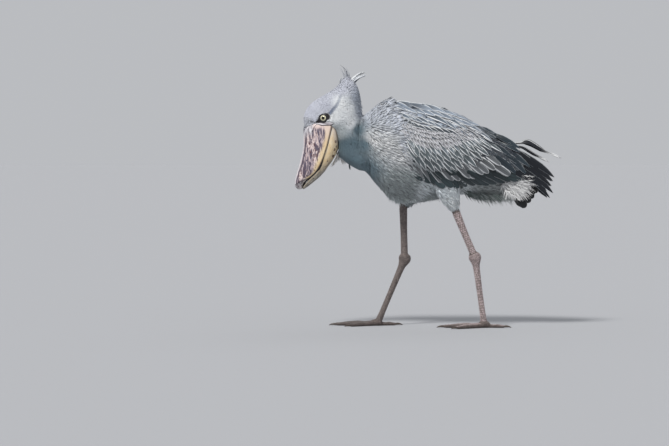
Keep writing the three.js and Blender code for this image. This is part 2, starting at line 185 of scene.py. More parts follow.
# ------------------------------------------------------------------ the CAD's forms
CROWN_BACK, NAPE_Y, FOREHEAD_Y, BILL_BASE_Z = 892, -245, -453, 733
BELLY, BACK, HUMP, TRUNK_W, WING_W = 450, 783, 818, 119, 147
HEAD_ROWS = [
    [CROWN_BACK + 6, -312, -290, 7, -301, 2],
    [CROWN_BACK - 8, -322, -274, 22, -297, 2],
    [866, -336, -263, 36, -296, 2],
    [844, -366, -255, 48, -300, 2],
    [818, -410, -250, 57, -315, 2],
    [790, -441, NAPE_Y - 2, 62, -330, 2],
    [762, FOREHEAD_Y, NAPE_Y, 65, -335, 2.05],
    [BILL_BASE_Z + 8, FOREHEAD_Y + 1, NAPE_Y + 3, 66, -332, 2.1],
    [BILL_BASE_Z - 4, -424, NAPE_Y + 4, 64, -324, 2.1],
    [716, -364, NAPE_Y + 6, 63, -314, 2.1],
    [692, -345, NAPE_Y + 10, 62, -300, 2.1],
    [660, -336, -228, 62, -280, 2.1],
    [620, -331, -212, 64, -262, 2.1],
    [588, -296, -200, 66, -245, 2.1],
    [562, -250, -190, 40, -220, 2],
]
TRUNK_ROWS = [
    [-268, 690, 640, 24, 665, 2],
    [-244, 753, 576, 66, 655, 2.1],
    [-208, 785, 534, 92, 650, 2.1],
    [-170, 805, 492, 107, 645, 2.15],
    [-145, HUMP, 466, 112, 642, 2.1],
    [-108, 793, BELLY + 4, 117, 640, 2.1],
    [-50, 785, BELLY, TRUNK_W, 640, 2.1],
    [15, BACK, 463, 118, 640, 2.1],
    [85, 772, 478, 110, 635, 2.1],
    [150, 741, 479, 97, 622, 2],
    [210, 705, 473, 80, 600, 2],
    [262, 677, 462, 62, 575, 2],
    [304, 646, 466, 47, 556, 2],
    [340, 596, 484, 33, 538, 2],
    [366, 548, 505, 14, 526, 2],
]
WING_ROWS = [
    [-114, 655, 598, 98, 628],
    [-94, 693, 566, 121, 628],
    [-45, 735, 542, 140, 634],
    [25, 752, 517, WING_W, 632],
    [95, 738, 506, 143, 622],
    [165, 709, 507, 129, 608],
    [235, 678, 514, 108, 594],
    [298, 648, 528, 86, 585],
    [338, 616, 552, 68, 582],
]
WING_CORE = 46
UPPER_ROWS = [
    [-438, BILL_BASE_Z + 14, -354, BILL_BASE_Z + 6, 48],
    [FOREHEAD_Y, BILL_BASE_Z - 10, -354, BILL_BASE_Z - 8, 57],
    [-455, 680, -364, 679, 59],
    [-457, 636, -376, 637, 60],
    [-467, 590, -393, 592, 57],
    [-478, 553, -412, 560, 49],
    [-484, 526, -438, 536, 35],
    [-483, 508, -456, 518, 20],
    [-471, 495, -461, 498, 7],
]
LOWER_ROWS = [
    [-331, 700, -351, BILL_BASE_Z + 2, 50],
    [-329, 664, -358, 708, 56],
    [-331, 640, -368, 672, 57],
    [-344, 611, -379, 633, 56],
    [-363, 583, -396, 590, 52],
    [-387, 551, -414, 558, 45],
    [-418, 523, -439, 534, 31],
    [-447, 501, -456, 514, 16],
    [-457, 496, -461, 504, 6],
]


def slices(rows):
    def ring(T, A):
        y, top, low, half, mid, p = np.moveaxis(along(rows, T), -1, 0)
        c = spow(np.cos(A), 2 / p)
        s = spow(np.sin(A), 2 / p)
        return np.stack([half * c, y, mid + np.where(s > 0, top - mid, mid - low) * s], -1)
    return ring


def storeys(rows):
    def ring(T, A):
        z, front, back, half, mid, p = np.moveaxis(along(rows, T), -1, 0)
        c = spow(np.cos(A), 2 / p)
        s = spow(np.sin(A), 2 / p)
        return np.stack([half * c, mid + np.where(s > 0, back - mid, mid - front) * s, z], -1)
    return ring


def wing_ring(sign):
    def ring(T, A):
        y, top, low, out, mid = np.moveaxis(along(WING_ROWS, T), -1, 0)
        c, s = np.cos(A), np.sin(A)
        return np.stack([sign * (WING_CORE + (out - WING_CORE) * c), y,
                         mid + np.where(s > 0, top - mid, mid - low) * s], -1)
    return ring


def limb(rows, floor=-1e9):
    """Round limb along a path of rows x, y, z, half width sideways, half width in its plane."""
    def ring(T, A):
        r = along(rows, T)
        e = 1e-3
        tan = unit(along(rows, np.minimum(T + e, 1))[..., :3] - along(rows, np.maximum(T - e, 0))[..., :3])
        steep = np.abs(tan[..., 2:3]) > 0.6
        ref = np.where(steep, np.array([0.0, 1, 0]), np.array([0.0, 0, 1]))
        side = unit(np.cross(tan, ref))
        nor = unit(np.cross(side, tan))
        p = (r[..., :3] + side * (np.cos(A) * r[..., 3])[..., None]
             + nor * (np.sin(A) * r[..., 4])[..., None])
        p[..., 2] = np.maximum(p[..., 2], floor)
        return p
    return ring


HEEL_Z = {"left": 249, "right": 240}
HEEL_Y = {"left": 160, "right": -89}
FOOT_Y = {"left": 194, "right": -190}
TOE_LENGTH = {"mid": 150, "inner": 118, "outer": 132, "hind": 74}
TOE_SPREAD = {"mid": 2, "inner": -33, "outer": 36, "hind": 170}
SHANK_R, TARSUS_R, HEEL_R, TOE_R, CLAW = 12, 10.5, 21, 8, 23


def leg_rows(side):
    m = 1 if side == "left" else -1
    x = 60 * m
    hy, hz, fy = HEEL_Y[side], HEEL_Z[side], FOOT_Y[side]
    knee = 66 if side == "left" else -72
    cuff = 86 if side == "left" else -94
    cz = 424 if side == "left" else 438
    thigh = [
        [x - 4 * m, knee - 24 * m, 575, 26, 30],
        [x + 4 * m, knee - 12 * m, 530, 44, 50],
        [x + 5 * m, knee, 486, 36, 44],
        [x + 2 * m, (knee + cuff) / 2 + 2 * m, 452, 24, 28],
        [x, cuff, cz, 13, 14],
    ]
    shank = [
        [x, cuff - (hy - cuff) * 0.16, cz + 30, 9, 9],
        [x, cuff, cz + 4, SHANK_R + 1.5, SHANK_R + 2],
        [x, cuff + (hy - cuff) * 0.5, (cz + hz) / 2, SHANK_R - 1, SHANK_R],
        [x, hy - (hy - cuff) * 0.05, hz + 10, SHANK_R - 1, SHANK_R],
        [x, hy, hz, 9, 9],
    ]

    def part(f):
        return [x, hy + (fy - hy) * f, hz * (1 - f)]
    lean = (hy - cuff) / (cz - hz)
    tarsus = [
        [x, hy - lean * 26, hz + 26, 8, 9],
        [x, hy - lean * 13, hz + 13, 14, HEEL_R - 2],
        part(0) + [17, HEEL_R + 0.5],
        part(0.1) + [12, 13],
        part(0.25) + [TARSUS_R - 0.5, TARSUS_R + 0.5],
        part(0.5) + [TARSUS_R - 1, TARSUS_R - 0.5],
        part(0.75) + [TARSUS_R - 1, TARSUS_R - 0.5],
        part(0.9) + [TARSUS_R + 1, TARSUS_R + 1],
        part(0.955) + [TARSUS_R + 2, TARSUS_R + 2],
    ]
    pad = [
        [x, fy + 18, 9, 9, 8],
        [x, fy + 8, 11, 15, 12.5],
        [x, fy - 8, 11, 18, 12.5],
        [x, fy - 23, 8, 13, 9],
    ]
    toes, claws = {}, {}
    for name, length in TOE_LENGTH.items():
        ang = math.radians(TOE_SPREAD[name])
        dx, dy = math.sin(ang) * m, -math.cos(ang)
        r = TOE_R - 1 if name == "hind" else TOE_R

        def at(d, z, w, h):
            return [x + dx * d, fy + dy * d, z, w, h]
        toes[name] = [
            at(4, r + 1, r * 0.8, r * 0.8),
            at(length * 0.18, r, r * 1.05, r + 1),
            at(length * 0.4, r - 1.5, r * 0.88, r - 0.5),
            at(length * 0.62, r - 1.2, r * 0.95, r),
            at(length * 0.84, r - 2.2, r * 0.75, r - 1.5),
            at(length, r - 2.6, r * 0.5, r - 3),
        ]
        claws[name] = [
            at(length - 7, 5.2, 3.2, 3.6),
            at(length + CLAW * 0.2, 6, 3.3, 4),
            at(length + CLAW * 0.65, 4.6, 2, 2.6),
            at(length + CLAW, 1.4, 0.6, 0.8),
        ]
    return thigh, shank, tarsus, pad, toes, claws


LEGS = {s: leg_rows(s) for s in ("left", "right")}

# ------------------------------------------------------------------ one outer form, then the skin
def joined(parts, name):
    """Closed bodies gathered into one mesh object, in metres; remeshed joins them into one surface by a fine voxel
    remesh.
    """
    vs, fs, base = [], [], 0
    for ring, sides, steps in parts:
        v, q, t = outward(*loft(ring, sides, steps))
        f = tri_faces(q, t)
        vs.append(mm(v))
        fs.append(f + base)
        base += len(v)
    return add_mesh(name, np.concatenate(vs), np.concatenate(fs))


def remeshed(ob, size):
    mod = ob.modifiers.new("r", "REMESH")
    mod.mode = "VOXEL"
    mod.voxel_size = size
    mod.use_smooth_shade = True
    dg = bpy.context.evaluated_depsgraph_get()
    me = bpy.data.meshes.new_from_object(ob.evaluated_get(dg))
    bpy.data.objects.remove(ob)
    v = np.empty(len(me.vertices) * 3, np.float32)
    me.vertices.foreach_get("co", v)
    f = np.empty(len(me.loops), np.int32)
    me.loops.foreach_get("vertex_index", f)
    sizes = np.empty(len(me.polygons), np.int32)
    me.polygons.foreach_get("loop_total", sizes)
    assert (sizes == 4).all()
    bpy.data.meshes.remove(me)
    return v.reshape(-1, 3).astype(float), f.reshape(-1, 4)


def edges_of(quads):
    e = np.concatenate([quads[:, [0, 1]], quads[:, [1, 2]], quads[:, [2, 3]], quads[:, [3, 0]]])
    e = np.sort(e, 1)
    return np.unique(e, axis=0)


def relax(v, quads, rounds, weight=None, keep=True):
    """Smooths the surface; with keep, every other step pushes back out so that it doesn't shrink."""
    e = edges_of(quads)
    n = np.bincount(e.ravel(), minlength=len(v)).astype(float)[:, None]
    w = np.ones((len(v), 1)) if weight is None else weight[:, None]
    for i in range(rounds):
        for lam in ((0.5, -0.52) if keep else (0.5,)):
            acc = np.zeros_like(v)
            for c in range(3):
                acc[:, c] = (np.bincount(e[:, 0], v[e[:, 1], c], len(v))
                             + np.bincount(e[:, 1], v[e[:, 0], c], len(v)))
            v = v + (acc / n - v) * lam * w
    return v


def vertex_normals(v, quads):
    a, b, c, d = (v[quads[:, i]] for i in range(4))
    fn = np.cross(c - a, d - b)
    out = np.zeros_like(v)
    for c_ in range(3):
        for i in range(4):
            out[:, c_] += np.bincount(quads[:, i], fn[:, c_], len(v))
    return unit(out)


def diffuse(x, quads, rounds):
    e = edges_of(quads)
    n = np.bincount(e.ravel(), minlength=len(x)).astype(float)
    for _ in range(rounds):
        if x.ndim == 1:
            acc = np.bincount(e[:, 0], x[e[:, 1]], len(x)) + np.bincount(e[:, 1], x[e[:, 0]], len(x))
            x = 0.5 * x + 0.5 * acc / n
        else:
            x = np.stack([diffuse(x[:, i], quads, 1) for i in range(x.shape[1])], 1)
    return x


flesh = [(storeys(HEAD_ROWS), 96, 96), (slices(TRUNK_ROWS), 112, 120),
         (wing_ring(1), 80, 90), (wing_ring(-1), 80, 90),
         (limb(LEGS["left"][0]), 48, 40), (limb(LEGS["right"][0]), 48, 40)]
legs = []
for s in ("left", "right"):
    thigh, shank, tarsus, pad, toes, claws = LEGS[s]
    legs += [(limb(shank), 32, 40), (limb(tarsus), 32, 70), (limb(pad, 0.0), 32, 16)]
    legs += [(limb(r, 0.0), 24, 40) for r in toes.values()]

# the outline of the plumage: what the feathers follow
gv, gq = remeshed(joined(flesh, "guide"), 0.004)
gv = relax(gv, gq, 14)
gn = vertex_normals(gv, gq)
gns = unit(diffuse(gn, gq, 3))
guide = BVHTree.FromPolygons(gv.tolist(), gq.tolist())
gface = unit(gns[gq].mean(1))
garea = 0.5 * np.linalg.norm(np.cross(gv[gq[:, 2]] - gv[gq[:, 0]], gv[gq[:, 3]] - gv[gq[:, 1]]), axis=1)
gmid = gv[gq].mean(1)
print("guide", len(gv))



# ------------------------------------------------------------------ plumage by tract
# One mixed colour for each named tract of feathers.
TRACT_COLOUR = {
    "crown": (186, 189, 201), "cheek": (241, 244, 246), "throat": (196, 204, 206),
    # neck: darkened as painted shade, the shadow that the head casts on the neck
    "neck": (100, 122, 133), "nape": (170, 178, 191), "flank": (214, 221, 225), "breast": (204, 205, 206),
    "belly": (140, 149, 150), "mantle": (170, 175, 186), "scapular": (136, 147, 162),
    "rump": (44, 50, 60), "vent": (146, 152, 152), "undertail": (228, 230, 230),
    # under_wing: the body's feathers under the folded wing are painted dark, as shade where they show between the
    # wing's feathers
    "thigh": (220, 226, 229), "under_wing": (62, 70, 78),
}
# For each tract, where it lies in the side view (see px), then the lie of its feathers in degrees above the
# tail's direction, length, width and depth of the coat in mm, looseness, and strength of the pale rims.
TRACTS = {
    "crown": [(306, 120, 80, 5, 2.4, 2.5, .10, .05), (308, 107, 60, 6, 2.6, 3.0, .10, .05),
              (322, 97, 36, 9, 3.2, 4.0, .15, .08), (324, 107, 30, 8, 3.1, 3.5, .10, .05),
              (337, 90, 42, 15, 4.2, 6.0, .30, .12), (346, 83, 64, 26, 5.0, 8.0, .60, .20)],
    "nape": [(356, 92, -62, 26, 5.5, 8.0, .50, .25), (361, 106, -76, 28, 6.5, 8.0, .60, .35)],
    "cheek": [(338, 104, 8, 11, 3.6, 4.5, .12, .06), (333, 116, -10, 7, 2.9, 3.0, .08, .05),
              (346, 108, -35, 14, 4.4, 5.0, .15, .08), (350, 120, -58, 15, 4.8, 6.0, .15, .08)],
    "throat": [(337, 130, -62, 9, 3.3, 3.0, .08, .05)],
    "neck": [(343, 143, -52, 12, 3.9, 5.0, .20, .08), (356, 126, -62, 16, 5.0, 6.0, .12, .08), (352, 140, -66, 17, 5.0, 7.0, .12, .06), (350, 158, -40, 18, 5.0, 7.0, .30, .08),
             (362, 140, -62, 20, 6.0, 8.0, .15, .06), (360, 163, -38, 22, 6.0, 8.0, .30, .10)],
    "breast": [(369, 135, -46, 26, 7.5, 9.0, .25, .15), (378, 140, -18, 30, 6.5, 10, .50, .40),
               (390, 150, -22, 34, 6.5, 11, .65, .45)],
    "belly": [(385, 172, -26, 42, 7.5, 12, .60, .35), (398, 192, -38, 48, 8.0, 13, .80, .35),
              (400, 172, -32, 40, 8.0, 11, .60, .35), (420, 195, -44, 50, 8.0, 12, .85, .35)],
    "mantle": [(367, 117, 30, 20, 8.0, 8.0, .30, .40), (378, 112, 34, 24, 9.0, 9.0, .50, .50),
               (391, 101, 30, 28, 10, 9.0, .90, .60), (386, 124, 20, 26, 8.5, 9.0, .50, .60),
               (399, 122, 8, 28, 9.0, 9.0, .50, .65), (399, 142, -34, 26, 8.0, 9.0, .70, .60)],
    "scapular": [(410, 112, -6, 36, 14, 10, .35, .40), (430, 110, -5, 50, 20, 11, .15, .40),
                 (455, 115, -15, 60, 22, 12, .15, .40)],
    "rump": [(485, 130, -31, 62, 20, 10, .15, .30), (510, 145, -36, 50, 18, 8.0, .15, .20)],
    "flank": [(416, 187, -40, 44, 8.0, 12, .60, .30), (432, 191, -46, 46, 8.0, 12, .70, .30)],
    "thigh": [(446, 193, -56, 40, 8.0, 12, .70, .30), (440, 196, -52, 46, 8.0, 12, .80, .35), (452, 198, -72, 32, 7.0, 9.0, .60, .30),
              (454, 207, -74, 18, 5.0, 4.0, .45, .20), (402, 203, -80, 18, 5.0, 4.0, .45, .20)],
    "vent": [(475, 197, -30, 52, 8.0, 11, .90, .30), (500, 198, -24, 54, 8.0, 11, .95, .25)],
    "undertail": [(520, 186, -16, 50, 8.0, 10, .95, .10), (533, 182, -20, 40, 7.0, 6.0, .95, .10)],
    "under_wing": [(430, 150, -48, 30, 10, 12, .10, .40), (475, 155, -45, 34, 12, 12, .10, .30),
                   (500, 165, -40, 40, 12, 10, .10, .20)],
}


def linear(c):
    c = np.asarray(c, float) / 255.0
    return np.where(c <= 0.04045, c / 12.92, ((c + 0.055) / 1.055) ** 2.4)


_rows = np.array([r for rows in TRACTS.values() for r in rows], float)
_paint = np.array([linear(TRACT_COLOUR[k]) for k, rows in TRACTS.items() for _ in rows])
_chart_at = np.stack(px(_rows[:, 0], _rows[:, 1]), 1)
_ang = np.radians(_rows[:, 2])
_val = np.concatenate([np.stack([np.cos(_ang), np.sin(_ang)], 1), _rows[:, 3:8], _paint], 1)


def chart(p):
    """The tracts' values at points p in metres: lie (N,3), length, width, depth, looseness, rim, colour."""
    q = raw(p)[:, 1:]
    out = np.zeros((len(p), _val.shape[1]))
    for i in range(0, len(p), 20000):
        d2 = ((q[i:i + 20000, None] - _chart_at[None]) ** 2).sum(-1) + 9.0
        w = d2 ** -1.9
        out[i:i + 20000] = (w / w.sum(1, keepdims=True)) @ _val
    lie = unit(np.stack([np.zeros(len(p)), out[:, 0], out[:, 1]], 1))
    return lie, out[:, 2], out[:, 3], out[:, 4], out[:, 5], out[:, 6], out[:, 7:10]


# ------------------------------------------------------------------ places on the side view
def seg_dist(q, a, b):
    a, b = np.array(px(*a)), np.array(px(*b))
    t = np.clip(((q - a) @ (b - a)) / ((b - a) @ (b - a)), 0, 1)
    return np.linalg.norm(q - a - t[:, None] * (b - a), axis=1), t


EYE = np.array([48.5, -382.5, 752.5])


def bare_face(p):
    """1 where the bare skin round the eye, lores and gape is painted near-black, 0 on feathers; and the pale skin above
    the gape.
    """
    r = raw(p)
    q = r[:, 1:]
    side = smooth(18, 30, np.abs(r[:, 0]))
    e = (q - EYE[1:]) @ np.array([[0.88, -0.475], [0.475, 0.88]])
    ring = np.hypot(e[:, 0] / 23.0, e[:, 1] / 16.5)
    d1, t1 = seg_dist(q, (322.0, 118.6), (314.6, 123.6))
    lore = d1 / (11.0 - 7.5 * t1)
    d3, t3 = seg_dist(q, (330.4, 126.2), (332.8, 123.8))
    gape = d3 / (4.4 - 2.8 * t3)
    dark = smooth(1.12, 0.92, np.minimum(np.minimum(ring, lore), gape)) * side
    d2, t2 = seg_dist(q, (317.6, 123.8), (330.6, 124.2))
    band = smooth(1.2, 0.8, d2 / 6.5) * side
    return dark, band


def brow_shadow(p):
    """Painted shadow: the dark line from the eye up to the crest, as the shade under the crown's edge."""
    q = raw(p)[:, 1:]
    d, t = np.full(len(q), 1e9), np.zeros(len(q))
    pts = [(327.0, 114.5), (330.8, 110.0), (333.6, 106.0), (336.0, 101.5), (337.6, 97.0)]
    for i in range(len(pts) - 1):
        di, ti = seg_dist(q, pts[i], pts[i + 1])
        t = np.where(di < d, (i + ti) / (len(pts) - 1), t)
        d = np.minimum(d, di)
    return smooth(1.0, 0.25, d / (9.5 - 3.5 * t)) * (1 - 0.6 * t)


# ------------------------------------------------------------------ materials
class Net:
    """A material and short ways to add its nodes."""

    def __init__(self, name):
        self.m = bpy.data.materials.new(name)
        self.m.use_nodes = True
        self.t = self.m.node_tree
        self.b = self.t.nodes["Principled BSDF"]

    def put(self, kind, **props):
        n = self.t.nodes.new(kind)
        for k, v in props.items():
            setattr(n, k, v)
        return n

    def wire(self, a, b):
        self.t.links.new(a, b)

    def _in(self, socket, v):
        if isinstance(v, (int, float)):
            socket.default_value = v
        elif isinstance(v, (tuple, list)):
            socket.default_value = v
        elif v is not None:
            self.wire(v, socket)

    def math(self, op, a, b=None, c=None, clamp=False):
        n = self.put("ShaderNodeMath", operation=op, use_clamp=clamp)
        for i, v in enumerate((a, b, c)):
            self._in(n.inputs[i], v)
        return n.outputs[0]

    def step(self, x, lo, hi, to0=0.0, to1=1.0):
        n = self.put("ShaderNodeMapRange", interpolation_type="SMOOTHSTEP")
        self._in(n.inputs[0], x)
        for i, v in enumerate((lo, hi, to0, to1)):
            n.inputs[i + 1].default_value = v
        return n.outputs[0]

    def mix(self, fac, a, b, blend="MIX"):
        n = self.put("ShaderNodeMix", data_type="RGBA", blend_type=blend)
        self._in(n.inputs[0], fac)
        self._in(n.inputs[6], tuple(a) + (1.0,) if isinstance(a, (tuple, list)) and len(a) == 3 else a)
        self._in(n.inputs[7], tuple(b) + (1.0,) if isinstance(b, (tuple, list)) and len(b) == 3 else b)
        return n.outputs[2]

    def grey(self, x):
        n = self.put("ShaderNodeCombineColor")
        for i in range(3):
            self.wire(x, n.inputs[i])
        return n.outputs[0]

    def noise(self, vec, scale, detail=2.0, rough=0.5, dist=0.0):
        n = self.put("ShaderNodeTexNoise")
        self.wire(vec, n.inputs["Vector"])
        n.inputs["Scale"].default_value = scale
        n.inputs["Detail"].default_value = detail
        n.inputs["Roughness"].default_value = rough
        n.inputs["Distortion"].default_value = dist
        return n.outputs["Fac"]

    def uv(self, name):
        n = self.put("ShaderNodeUVMap", uv_map=name)
        s = self.put("ShaderNodeSeparateXYZ")
        self.wire(n.outputs[0], s.inputs[0])
        return n.outputs[0], s.outputs[0], s.outputs[1]

    def stretch(self, vec, sx, sy, sz):
        n = self.put("ShaderNodeMapping")
        self.wire(vec, n.inputs[0])
        n.inputs["Scale"].default_value = (sx, sy, sz)
        return n.outputs[0]

    def where(self):
        return self.put("ShaderNodeTexCoord").outputs["Object"]

    def tint(self):
        n = self.put("ShaderNodeAttribute", attribute_name="tint")
        return n.outputs["Color"], n.outputs["Alpha"]

    def bump(self, height, strength, distance):
        n = self.put("ShaderNodeBump")
        self.wire(height, n.inputs["Height"])
        n.inputs["Strength"].default_value = strength
        n.inputs["Distance"].default_value = distance
        self.wire(n.outputs[0], self.b.inputs["Normal"])

    def flat(self, **values):
        for k, v in values.items():
            self.b.inputs[k.replace("_", " ")].default_value = v


def plume_material(name, rim, rough=0.62, rim_at=(0.60, 0.86), shaft=0.0, shaft_colour=(0.02, 0.02, 0.02),
                   streak=0.16, barbs=38.0, sheen=0.12, tip_at=(0.86, 0.965)):
    """A vane: its own colour, a pale rim, a shaft line and the fine slanting barbs."""
    n = Net(name)
    colour, strength = n.tint()
    vec, u, v = n.uv("vane")
    e = n.math("ABSOLUTE", n.math("SUBTRACT", n.math("MULTIPLY", u, 2.0), 1.0))
    edge = n.math("MAXIMUM", n.step(e, *rim_at), n.step(v, *tip_at))
    line = n.put("ShaderNodeCombineXYZ")
    n.wire(n.math("ADD", n.math("MULTIPLY", v, barbs), n.math("MULTIPLY", e, -barbs * 0.22)), line.inputs[0])
    n.wire(n.math("MULTIPLY", e, 1.3), line.inputs[1])
    pos = n.put("ShaderNodeNewGeometry").outputs["Position"]
    off = n.put("ShaderNodeVectorMath", operation="MULTIPLY_ADD")
    n.wire(pos, off.inputs[0])
    off.inputs[1].default_value = (7.0, 7.0, 7.0)
    n.wire(line.outputs[0], off.inputs[2])
    barb = n.noise(off.outputs[0], 1.0, 2.0, 0.6)
    shade = n.math("ADD", n.math("MULTIPLY", barb, 2 * streak), 1.0 - streak)
    base = n.mix(1.0, colour, n.grey(shade), "MULTIPLY")
    if shaft:
        s = n.math("MULTIPLY", n.step(e, 0.13, 0.04), n.step(v, 0.97, 0.80))
        base = n.mix(n.math("MULTIPLY", s, shaft), base, shaft_colour)
    base = n.mix(n.math("MULTIPLY", edge, strength, clamp=True), base, tuple(linear(rim)))
    n.wire(base, n.b.inputs["Base Color"])
    n.flat(Roughness=rough)
    n.b.inputs["Specular IOR Level"].default_value = 0.28
    n.b.inputs["Sheen Weight"].default_value = sheen
    n.b.inputs["Sheen Roughness"].default_value = 0.5
    return n.m


MAT_SOFT = plume_material("plumage", (226, 230, 234), streak=0.12, rim_at=(0.45, 0.95))
MAT_COVERT = plume_material("coverts", (248, 250, 252), rough=0.5, rim_at=(0.54, 0.69), shaft=0.35, streak=0.16,
                            barbs=60.0, tip_at=(0.955, 0.985))
MAT_FLIGHT = plume_material("flight_feathers", (222, 228, 234), rough=0.36, rim_at=(0.80, 0.90), shaft=0.6,
                            shaft_colour=(0.006, 0.006, 0.007), streak=0.18, barbs=90.0, tip_at=(0.985, 0.999))
MAT_PLUME = plume_material("loose_feathers", (222, 224, 224), rough=0.55, streak=0.14)


def skin_material():
    """Dull skin under the feathers, wrinkled skin at the eye that is painted near-black, scaly grey-tan skin on the
    legs.
    """
    n = Net("skin")
    colour, leg = n.tint()
    at = n.where()
    scale = n.put("ShaderNodeTexVoronoi", feature="DISTANCE_TO_EDGE")
    n.wire(n.stretch(at, 1.0, 1.0, 0.8), scale.inputs["Vector"])
    scale.inputs["Scale"].default_value = 190.0
    cell = n.put("ShaderNodeTexVoronoi", feature="F1")
    n.wire(n.stretch(at, 1.0, 1.0, 0.8), cell.inputs["Vector"])
    cell.inputs["Scale"].default_value = 190.0
    groove = n.step(scale.outputs["Distance"], 0.0, 0.10)
    tone = n.math("ADD", n.math("MULTIPLY", n.noise(at, 60.0, 4.0, 0.6), 0.5), 0.75)
    body = n.mix(1.0, colour, n.grey(tone), "MULTIPLY")
    hue = n.put("ShaderNodeSeparateColor")
    n.wire(cell.outputs["Color"], hue.inputs[0])
    plate = n.mix(1.0, colour, n.grey(n.math("ADD", n.math("MULTIPLY", hue.outputs[0], 0.35), 0.80)), "MULTIPLY")
    plate = n.mix(n.math("SUBTRACT", 1.0, groove), plate, (0.055, 0.045, 0.042))
    n.wire(n.mix(leg, body, plate), n.b.inputs["Base Color"])
    n.wire(n.math("ADD", n.math("MULTIPLY", n.noise(at, 140.0, 2.0), 0.18), 0.46), n.b.inputs["Roughness"])
    height = n.math("ADD", n.math("MULTIPLY", n.math("MULTIPLY", groove, leg), 0.8),
                    n.math("MULTIPLY", n.noise(at, 420.0, 3.0, 0.6), 0.25))
    n.bump(height, 0.7, 0.0012)
    n.b.inputs["Specular IOR Level"].default_value = 0.35
    return n.m


# ------------------------------------------------------------------ skin
sv, sq = remeshed(joined(flesh + legs, "skinbase"), 0.0034)
_r = raw(sv)
legness = np.zeros(len(sv))
for s in ("left", "right"):
    m = 1 if s == "left" else -1
    cz = 424 if s == "left" else 438
    cy = 86 if s == "left" else -94
    near = np.abs(_r[:, 0] - 60 * m) < 26
    near &= np.hypot(_r[:, 0] - 60 * m, (_r[:, 1] - cy) * 0.8) < 34
    legness = np.maximum(legness, np.where(near | (_r[:, 2] < 400), smooth(cz + 26, cz - 4, _r[:, 2]), 0))
sv = relax(sv, sq, 8, weight=1.0 - 0.55 * legness)
sv = relax(sv, sq, 10, weight=1.0 - legness)
sn = vertex_normals(sv, sq)
_depth = chart(sv)[3]
depth = diffuse(_depth * (1 - legness), sq, 12)
dark, band = bare_face(sv)
depth = depth * (1 - 0.75 * np.maximum(dark, band))
# the socket: skin dips round the eyeball, and swells into a brow above it
e2 = np.hypot(_r[:, 1] - EYE[1], _r[:, 2] - EYE[2])
side = np.abs(_r[:, 0]) > 25
dip = np.where(side, 3.2 * np.exp(-(e2 / 15.0) ** 2), 0)
brow, _ = seg_dist(_r[:, 1:], (319.5, 114.0), (329.0, 110.8))
dip -= np.where(side, 2.4 * np.exp(-(brow / 5.0) ** 2), 0)
sv = sv - sn * ((depth + dip) / 1000)[:, None]
skin = add_mesh("skin", sv, sq)
# the skin takes its tract's colour, darkened on the body behind the neck as painted shade in the gaps between the
# feathers
scol = chart(sv)[6] * (0.45 + 0.47 * smooth(-215, -245, _r[:, 1]))[:, None]
leather = linear([118, 106, 102])[None] * (1 + 0.16 * value_noise(_r, 26, 3)[:, None])
leather = leather * (1 - 0.30 * smooth(60, 0, _r[:, 2]))[:, None]
scol = scol * (1 - legness[:, None]) + leather * legness[:, None]
bandc = linear([206, 199, 204])[None]
scol = scol * (1 - band[:, None]) + bandc * band[:, None]
scol = scol * (1 - dark[:, None]) + linear([26, 24, 28])[None] * dark[:, None]
set_attr(skin, "tint", "FLOAT_COLOR", np.concatenate([scol, legness[:, None]], 1))
skin.data.materials.append(skin_material())
skin_bvh = BVHTree.FromPolygons(sv.tolist(), sq.tolist())
print("skin", len(sv))

# ------------------------------------------------------------------ bill
def bowl(rows, belly, power, sides, steps, shape):
    t = np.linspace(0, 1, steps + 1)
    A = np.arange(sides) / sides * 2 * np.pi
    T, A = np.meshgrid(t, A, indexing="ij")
    ay, az, my, mz, half = np.moveaxis(along(rows, T), -1, 0)
    sn_, cs_ = np.sin(A), spow(np.cos(A), 2 / power)
    k = np.where(sn_ > 0, spow(sn_, 2 / power), belly * np.abs(sn_))
    p = np.stack([half * cs_, my + (ay - my) * k, mz + (az - mz) * k], -1)
    rise = unit(np.stack([np.zeros_like(ay), ay - my, az - mz], -1))
    out = unit(np.stack([cs_ / np.maximum(half, 1), rise[..., 1] * k / 60, rise[..., 2] * k / 60], -1))
    p, form = shape(p, T, A, k, rise, out, half)
    inner = (sn_ < -0.02)
    verts = np.concatenate([p[0].mean(0)[None], p[1:-1].reshape(-1, 3), p[-1].mean(0)[None]])
    fo = np.stack([form[0], form[1], inner.astype(float)], -1)
    fo = np.concatenate([fo[0].mean(0)[None], fo[1:-1].reshape(-1, 3), fo[-1].mean(0)[None]])
    i = np.arange(sides)
    i1 = (i + 1) % sides
    rows_ = np.arange(steps - 2)[:, None] * sides + 1
    a, b = rows_ + i, rows_ + i1
    quads = np.stack([a, b, b + sides, a + sides], -1).reshape(-1, 4)
    last = len(verts) - 1
    e = 1 + (steps - 2) * sides
    tris = np.concatenate([np.stack([np.zeros(sides, int), 1 + i1, 1 + i], 1),
                           np.stack([np.full(sides, last), e + i, e + i1], 1)])
    f = tri_faces(quads, tris)
    if signed_volume(verts, f) < 0:
        f = f[:, ::-1]
    return mm(verts), f, fo


